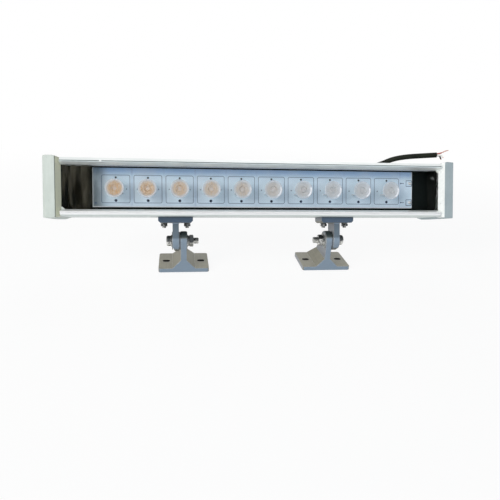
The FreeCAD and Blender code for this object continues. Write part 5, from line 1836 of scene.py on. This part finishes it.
@dataclass
class Fasteners:
    """Bolts, nuts and washers of one bracket, drawn for the right one."""

    lamp: LampFrame
    ground: GroundFrame
    wardrobe: Wardrobe
    side: Side
    shift: float = 1.4
    tee: float = 102.7        # X of the tee's stem
    slot_bolt_reach: float = 14.3
    slot_depth: float = 15.0
    flange_bottom: float = -40.55
    slot_seat: float = -30.95
    slot_head: float = 3.3
    small: float = 5.0        # slot bolt
    small_flats: float = 8.0
    small_nut: float = 3.3
    small_washer: float = 1.0
    small_end: float = 2.0
    axis_height: float = 38.0
    large: float = 8.0        # pivot bolt
    large_flats: float = 13.0
    head_faces: tuple[float, float, float, float] = (107.5, 108.6, 109.8, 114.4)
    nut_faces: tuple[float, float, float, float, float] = (88.5, 87.4, 86.2, 80.8, 74.4)
    play: float = 0.1

    def build(self) -> None:
        """Makes all fasteners of the bracket in place of their nodes."""
        steel = self.wardrobe.material(TurnedSteel("fastener_steel"))
        slots = [self.slot_axis(reach) for reach in (-self.slot_bolt_reach, self.slot_bolt_reach)]
        bracket, foot = self.side.named("bracket"), self.side.named("foot")
        self.piece("slot_bolts", [self.slot_bolt(axis) for axis in slots], steel, bracket)
        self.piece("slot_nuts", [self.slot_nut(axis) for axis in slots], steel, bracket)
        self.piece("slot_washers", [self.slot_washer(axis) for axis in slots], steel, bracket)
        self.piece("pivot_bolt", [self.pivot_bolt()], steel, foot)
        self.piece("pivot_nut", [self.pivot_nut()], steel, foot)
        self.piece("flat_washers", self.flat_washers(), steel, foot)
        self.piece("spring_washers", self.spring_washers(), steel, foot)
        LOG.info("%s fasteners", self.side.name.lower())

    def piece(
        self, node: str, grids: Sequence[Grid], material: bpy.types.Material, body: str,
    ) -> None:
        """A fastener in place of its node.

        Args:
            node: name of the node, without its side.
            grids: its closed bodies.
            material: its material.
            body: the body that it rides on.
        """
        made = surface(self.side.named(node) + "_cut", grids, material, 32.0)
        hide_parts(self.side.named(node))
        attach(made, body)

    def on_side(self, spots: np.ndarray) -> np.ndarray:
        """Points of the right bracket, on this side."""
        return spots * np.array([self.side.value, 1.0, 1.0]) + np.array([self.shift, 0.0, 0.0])

    def in_lamp(self, spots: np.ndarray) -> np.ndarray:
        """The same in the lamp's frame, in the frame of the model."""
        return self.lamp.world(self.on_side(spots))

    def on_ground(self, spots: np.ndarray) -> np.ndarray:
        """The same in the frame of the feet, in the frame of the model."""
        return self.ground.world(self.on_side(spots))

    def slot_axis(self, reach: float) -> Turning:
        """Axis of a slot bolt, upwards."""
        spot = (self.tee + reach, self.slot_depth, 0.0)
        return Turning(spot, (0, 0, 1), (1, 0, 0), self.in_lamp)

    def pivot_axis(self, turn: float = 0.0) -> Turning:
        """The tilt axis, outwards, with angle 0 turned from straight up.

        Args:
            turn: degrees from straight up to angle 0.

        Returns:
            the axis.
        """
        angle = math.radians(turn)
        side = (0.0, -math.sin(angle), math.cos(angle))
        return Turning((0.0, 0.0, self.axis_height), (1, 0, 0), side, self.on_ground, 60)

    def thread(
        self, axis: Turning, major: float, pitch: float, start: float, end: float,
    ) -> list[tuple[Any, Any]]:
        """Rings of a right-hand thread: the radius is a triangle wave of the way along the axis
        in pitches, less the share of a turn, flat at its crests.

        Args:
            axis: the bolt's axis.
            major: diameter over the crests.
            pitch: way along the axis in one turn.
            start: where it starts, by its cut tip.
            end: where it runs out.

        Returns:
            The rings.
        """
        depth = 0.54 * pitch
        rings: list[tuple[Any, Any]] = [(0, start), (major / 2 - depth - 0.1, start)]
        turns = axis.angles() / (2 * math.pi) * self.side.value
        for way in np.arange(start + 0.2, end, pitch / 6):
            wave = np.abs(2 * np.mod(way / pitch - turns, 1.0) - 1.0)
            crest = np.minimum(wave * 1.25, 1.0)
            lead = min(1.0, (way - start) / (depth + 0.2))
            rings.append((major / 2 - depth + depth * crest * lead, way))
        rings.append((major / 2, end))
        return rings

    @staticmethod
    def nut_rings(
        axis: Turning, flats: float, low: float, high: float, bore: float,
    ) -> list[tuple[Any, Any]]:
        """Rings of a nut: each radius is the smaller of the hexagon's and of cones that rise at
        30 degrees from both faces.

        Args:
            axis: the nut's axis.
            flats: distance across the flats.
            low: where the nut starts.
            high: where it ends.
            bore: radius of its hole.

        Returns:
            the rings.
        """
        hexagon = hexagon_radius(axis.angles(), flats)
        span = high - low
        steps = [0.0, 0.12, 0.25, 0.4, 0.6, 0.85]
        shares = [*steps, *[span - step for step in reversed(steps)]]
        rings: list[tuple[Any, Any]] = [(bore, low)]
        for step in shares:
            cone = flats / 2 * 0.96 + min(step, span - step) * math.sqrt(3.0)
            rings.append((np.minimum(hexagon, cone), low + step))
        rings += [(bore, high)]
        return rings

    def slot_bolt(self, axis: Turning) -> Grid:
        """Bolt up through the flange, with its hexagon head in the T slot.

        Args:
            axis: the bolt's axis.

        Returns:
            the grid.
        """
        tip = self.flange_bottom - self.small_washer - self.small_nut - self.small_end
        rings = self.thread(axis, self.small, 0.8, tip, self.flange_bottom - 0.2)
        top = self.slot_seat + self.slot_head
        hexagon = hexagon_radius(axis.angles() + math.pi / 6, self.small_flats)
        rings += [(self.small / 2, self.slot_seat), (hexagon, self.slot_seat)]
        for step in (0.6, 0.3, 0.1, 0.0):
            cone = self.small_flats / 2 * 0.96 + step * math.sqrt(3.0)
            rings.append((np.minimum(hexagon, cone), top - step))
        rings.append((0, top))
        return axis.grid(rings)

    def slot_nut(self, axis: Turning) -> Grid:
        """Nut under the flange.

        Args:
            axis: the bolt's axis.

        Returns:
            the grid.
        """
        high = self.flange_bottom - self.small_washer
        bore = (self.small + self.play) / 2
        rings = self.nut_rings(axis, self.small_flats, high - self.small_nut, high, bore)
        return axis.grid(rings, True)

    def slot_washer(self, axis: Turning) -> Grid:
        """Spring washer over the nut.

        Args:
            axis: the bolt's axis.

        Returns:
            the grid.
        """
        low = self.flange_bottom - self.small_washer
        inner = self.small / 2 + self.play
        return self.split_ring(axis, inner, self.small_flats / 2, low, self.flange_bottom, 0.7)

    @staticmethod
    def split_ring(
        axis: Turning, inner: float, outer: float, low: float, high: float, gap: float,
    ) -> Grid:
        """Split ring: a square section with eased corners, carried round from one end of the
        gap to the other.

        Args:
            axis: the ring's axis.
            inner: inner radius.
            outer: outer radius.
            low: where it starts along the axis.
            high: where it ends.
            gap: width of the split.

        Returns:
            the grid.
        """
        ease = 0.14
        section = np.array([
            (inner + ease, low), (outer - ease, low), (outer, low + ease), (outer, high - ease),
            (outer - ease, high), (inner + ease, high), (inner, high - ease), (inner, low + ease),
        ])
        half = gap / 2 / outer
        turns = np.linspace(half, 2 * math.pi - half, 56)[:, None]
        direction = np.array(axis.direction, dtype=float)
        side = np.array(axis.side, dtype=float)
        third = np.cross(direction, side)
        arm = side * np.cos(turns)[..., None] + third * np.sin(turns)[..., None]
        spots = np.array(axis.origin) + direction * section[None, :, 1, None]
        return Grid(axis.place(spots + arm * section[None, :, 0, None]))

    def pivot_bolt(self) -> Grid:
        """Bolt through both stems: thread, shank, domed head and hexagon socket.

        Returns:
            the grid.
        """
        axis = self.pivot_axis()
        _, _, head, face = self.head_faces
        tip = self.nut_faces[4]
        rings = self.thread(axis, self.large, 1.25, tip, self.nut_faces[2])
        edge = self.large_flats / 2
        socket = hexagon_radius(axis.angles(), 5.0)
        rings += [(self.large / 2, head), (edge - 0.2, head), (edge, head + 0.2)]
        for share in np.linspace(0.0, 1.0, 8):
            rings.append((
                edge - (edge - 4.2) * share ** 2.2,
                head + 2.1 + (face - head - 2.1) * math.sin(share * math.pi / 2),
            ))
        rings += [(socket + 0.2, face), (socket, face - 0.2), (socket, face - 2.2), (0, face - 2.9)]
        return axis.grid(rings)

    def pivot_nut(self) -> Grid:
        """Nut on the inner end of the pivot bolt; one has a flat to the front, the other an
        edge.

        Returns:
            the grid.
        """
        axis = self.pivot_axis(30.0 if self.side is Side.RIGHT else 0.0)
        bore = (self.large + self.play) / 2
        _, _, high, low, _ = self.nut_faces
        return axis.grid(self.nut_rings(axis, self.large_flats, low, high, bore), True)

    def flat_washers(self) -> list[Grid]:
        """Washers with one stamped, rounded edge each.

        Returns:
            one grid for each.
        """
        axis = self.pivot_axis()
        inner, outer = self.large / 2 + self.play, 7.5
        pairs = [(self.head_faces[0], self.head_faces[1]), (self.nut_faces[0], self.nut_faces[1])]
        grids = []
        for seat, face in pairs:
            way = 1.0 if face > seat else -1.0
            grids.append(axis.grid([
                (inner, seat), (outer - 0.05, seat), (outer, seat + 0.1 * way),
                (outer, face - 0.45 * way), (outer - 0.13, face - 0.13 * way),
                (outer - 0.45, face), (inner + 0.15, face), (inner, face - 0.15 * way),
            ], True))
        return grids

    def spring_washers(self) -> list[Grid]:
        """Split rings next to the head and the nut.

        Returns:
            one grid for each.
        """
        axis = self.pivot_axis()
        inner, outer = self.large / 2 + self.play, 6.5
        ends = [(self.head_faces[1], self.head_faces[2]), (self.nut_faces[2], self.nut_faces[1])]
        return [self.split_ring(axis, inner, outer, low, high, 0.8) for low, high in ends]


@dataclass
class Brackets:
    """Tee brackets and feet."""

    wardrobe: Wardrobe

    def build(self) -> None:
        """Dresses the brackets' nodes."""
        self.wardrobe.dress_pair(SawnMetal("bracket_metal"), "tee_bracket", "foot")
        LOG.info("brackets")


# ------------------------------------------------------------------ studio

@dataclass(frozen=True)
class Lamp:
    """A soft rectangular studio light, metres and watts."""

    name: str
    position: tuple[float, float, float]
    target: tuple[float, float, float]
    size: float
    power: float
    colour: Colour

    def build(self) -> None:
        """Adds the light."""
        data = bpy.data.lights.new(self.name, "AREA")
        data.size = self.size
        data.energy = self.power
        data.color = self.colour
        light = bpy.data.objects.new(self.name, data)
        light.location = self.position
        way = Vector(self.target) - Vector(self.position)
        light.rotation_euler = way.to_track_quat("-Z", "Y").to_euler()
        bpy.context.scene.collection.objects.link(light)


@dataclass
class Studio:
    """Floor, background, lights and the photograph's camera."""

    lamp: LampFrame
    camera_position: tuple[float, float, float] = (-0.0969, -0.595801, 0.260492)
    camera_forward: tuple[float, float, float] = (0.1424208, 0.9171884, -0.3721314)
    camera_up: tuple[float, float, float] = (0.0080987, 0.3748715, 0.9270414)
    focal_length: float = 35.28
    sensor: float = 36.0
    floor_half: float = 6.0
    floor_near: float = 0.45  # metres from the middle where the floor's own light starts to win
    floor_far: float = 0.95
    floor_glow: float = 0.90
    diffuse_level: float = 0.42
    lights: tuple[Lamp, ...] = (
        Lamp("key", (-1.9, -1.3, 1.25), (0.0, 0.0, 0.08), 1.3, 40.0, (1.0, 0.97, 0.92)),
        Lamp("fill", (1.3, -1.9, 0.9), (0.0, 0.0, 0.08), 1.6, 9.0, (0.80, 0.90, 1.0)),
        Lamp("rim", (0.5, 1.8, 1.6), (0.0, 0.0, 0.08), 1.2, 8.0, (1.0, 1.0, 1.0)),
    )

    def build(self) -> None:
        """Adds all of it."""
        self.build_camera()
        self.build_floor()
        self.build_world()
        for light in self.lights:
            light.build()

    def build_camera(self) -> None:
        """Camera whose axes are the fitted right, up and backward vectors."""
        data = bpy.data.cameras.new("photograph_camera")
        data.lens = self.focal_length
        data.sensor_width = self.sensor
        data.clip_start = 0.01
        camera = bpy.data.objects.new("photograph_camera", data)
        forward, up = Vector(self.camera_forward), Vector(self.camera_up)
        right = forward.cross(up).normalized()
        turn = Matrix((right, right.cross(forward), -forward)).transposed().to_4x4()
        camera.matrix_world = Matrix.Translation(self.camera_position) @ turn
        bpy.context.scene.collection.objects.link(camera)
        bpy.context.scene.camera = camera

    def seen(self, sheet: Sheet) -> Value:
        """1 for rays from the camera, mirrors and clear bodies.

        Args:
            sheet: the sheet that the nodes go on.

        Returns:
            the mask.
        """
        path = sheet.node("ShaderNodeLightPath")
        first = path.value("Is Camera Ray").most(path.value("Is Glossy Ray"))
        return first.most(path.value("Is Transmission Ray"))

    def build_floor(self) -> None:
        """Wide pale floor that keeps the shadow and is lifted towards white."""
        half = self.floor_half
        mesh = bpy.data.meshes.new("floor")
        corners = [(-half, -half, 0), (half, -half, 0), (half, half, 0), (-half, half, 0)]
        mesh.from_pydata(corners, [], [(0, 1, 2, 3)])
        sheet = Sheet("floor_paper", self.lamp)
        fibre = sheet.noise(60.0, 2.0, 0.5)
        paper = sheet.mix(fibre, (0.90, 0.90, 0.90), (0.93, 0.93, 0.93))
        sheet.set(Base_Color=paper, Roughness=0.9)
        flat = sheet.node("ShaderNodeVectorMath", {"operation": "LENGTH"}, (sheet.spot,))
        far = flat.value("Value").ramp(self.floor_near, self.floor_far)
        share = far * (1.0 - self.floor_glow) + self.floor_glow
        glow = sheet.node("ShaderNodeEmission", None, {"Color": (1.0, 1.0, 1.0), "Strength": 1.0})
        mixed = sheet.node("ShaderNodeMixShader", None, (
            self.seen(sheet) * share, sheet.shader.out(), glow.out(),
        ))
        sheet.connect(mixed.out(), sheet.output.raw.inputs["Surface"])
        mesh.materials.append(sheet.material)
        floor = bpy.data.objects.new("floor", mesh)
        bpy.context.scene.collection.objects.link(floor)

    def build_world(self) -> None:
        """White to the camera and to mirrors, a soft level to everything else."""
        world = bpy.data.worlds.new("soft_box")
        bpy.context.scene.world = world
        world.use_nodes = True
        nodes, links = world.node_tree.nodes, world.node_tree.links
        nodes.clear()
        output = nodes.new("ShaderNodeOutputWorld")
        path = nodes.new("ShaderNodeLightPath")
        white, soft = nodes.new("ShaderNodeBackground"), nodes.new("ShaderNodeBackground")
        white.inputs["Color"].default_value = (1.0, 1.0, 1.0, 1.0)
        soft.inputs["Color"].default_value = (0.90, 0.95, 1.0, 1.0)
        soft.inputs["Strength"].default_value = self.diffuse_level
        first, second = nodes.new("ShaderNodeMath"), nodes.new("ShaderNodeMath")
        first.operation = second.operation = "MAXIMUM"
        links.new(path.outputs["Is Camera Ray"], first.inputs[0])
        links.new(path.outputs["Is Glossy Ray"], first.inputs[1])
        links.new(first.outputs[0], second.inputs[0])
        links.new(path.outputs["Is Transmission Ray"], second.inputs[1])
        mixed = nodes.new("ShaderNodeMixShader")
        links.new(second.outputs[0], mixed.inputs[0])
        links.new(soft.outputs[0], mixed.inputs[1])
        links.new(white.outputs[0], mixed.inputs[2])
        links.new(mixed.outputs[0], output.inputs["Surface"])


def main() -> None:
    """Loads the frame, dresses it and sets the studio."""
    logging.basicConfig(level=logging.INFO, format="%(name)s: %(message)s")
    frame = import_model()
    tilt = next(joint for joint in frame["joints"] if joint["name"] == "lamp_tilt")
    _, axis_y, axis_z = tilt["pos_m"]
    lamp = LampFrame(axis_y, axis_z)
    ground = GroundFrame(axis_y, axis_z)
    wardrobe = Wardrobe(lamp, frame["nodes"])
    bpy.context.scene.view_settings.view_transform = "Standard"
    Studio(lamp).build()
    SupplyCable(lamp, wardrobe).build()
    LampBody(lamp, wardrobe).build()
    Optics(lamp, wardrobe).build()
    Sealing(lamp, wardrobe).build()
    CableGland(lamp, wardrobe).build()
    Brackets(wardrobe).build()
    for side in Side:
        CapScrews(lamp, wardrobe, side).build()
        Fasteners(lamp, ground, wardrobe, side).build()


if __name__ == "__main__":
    main()
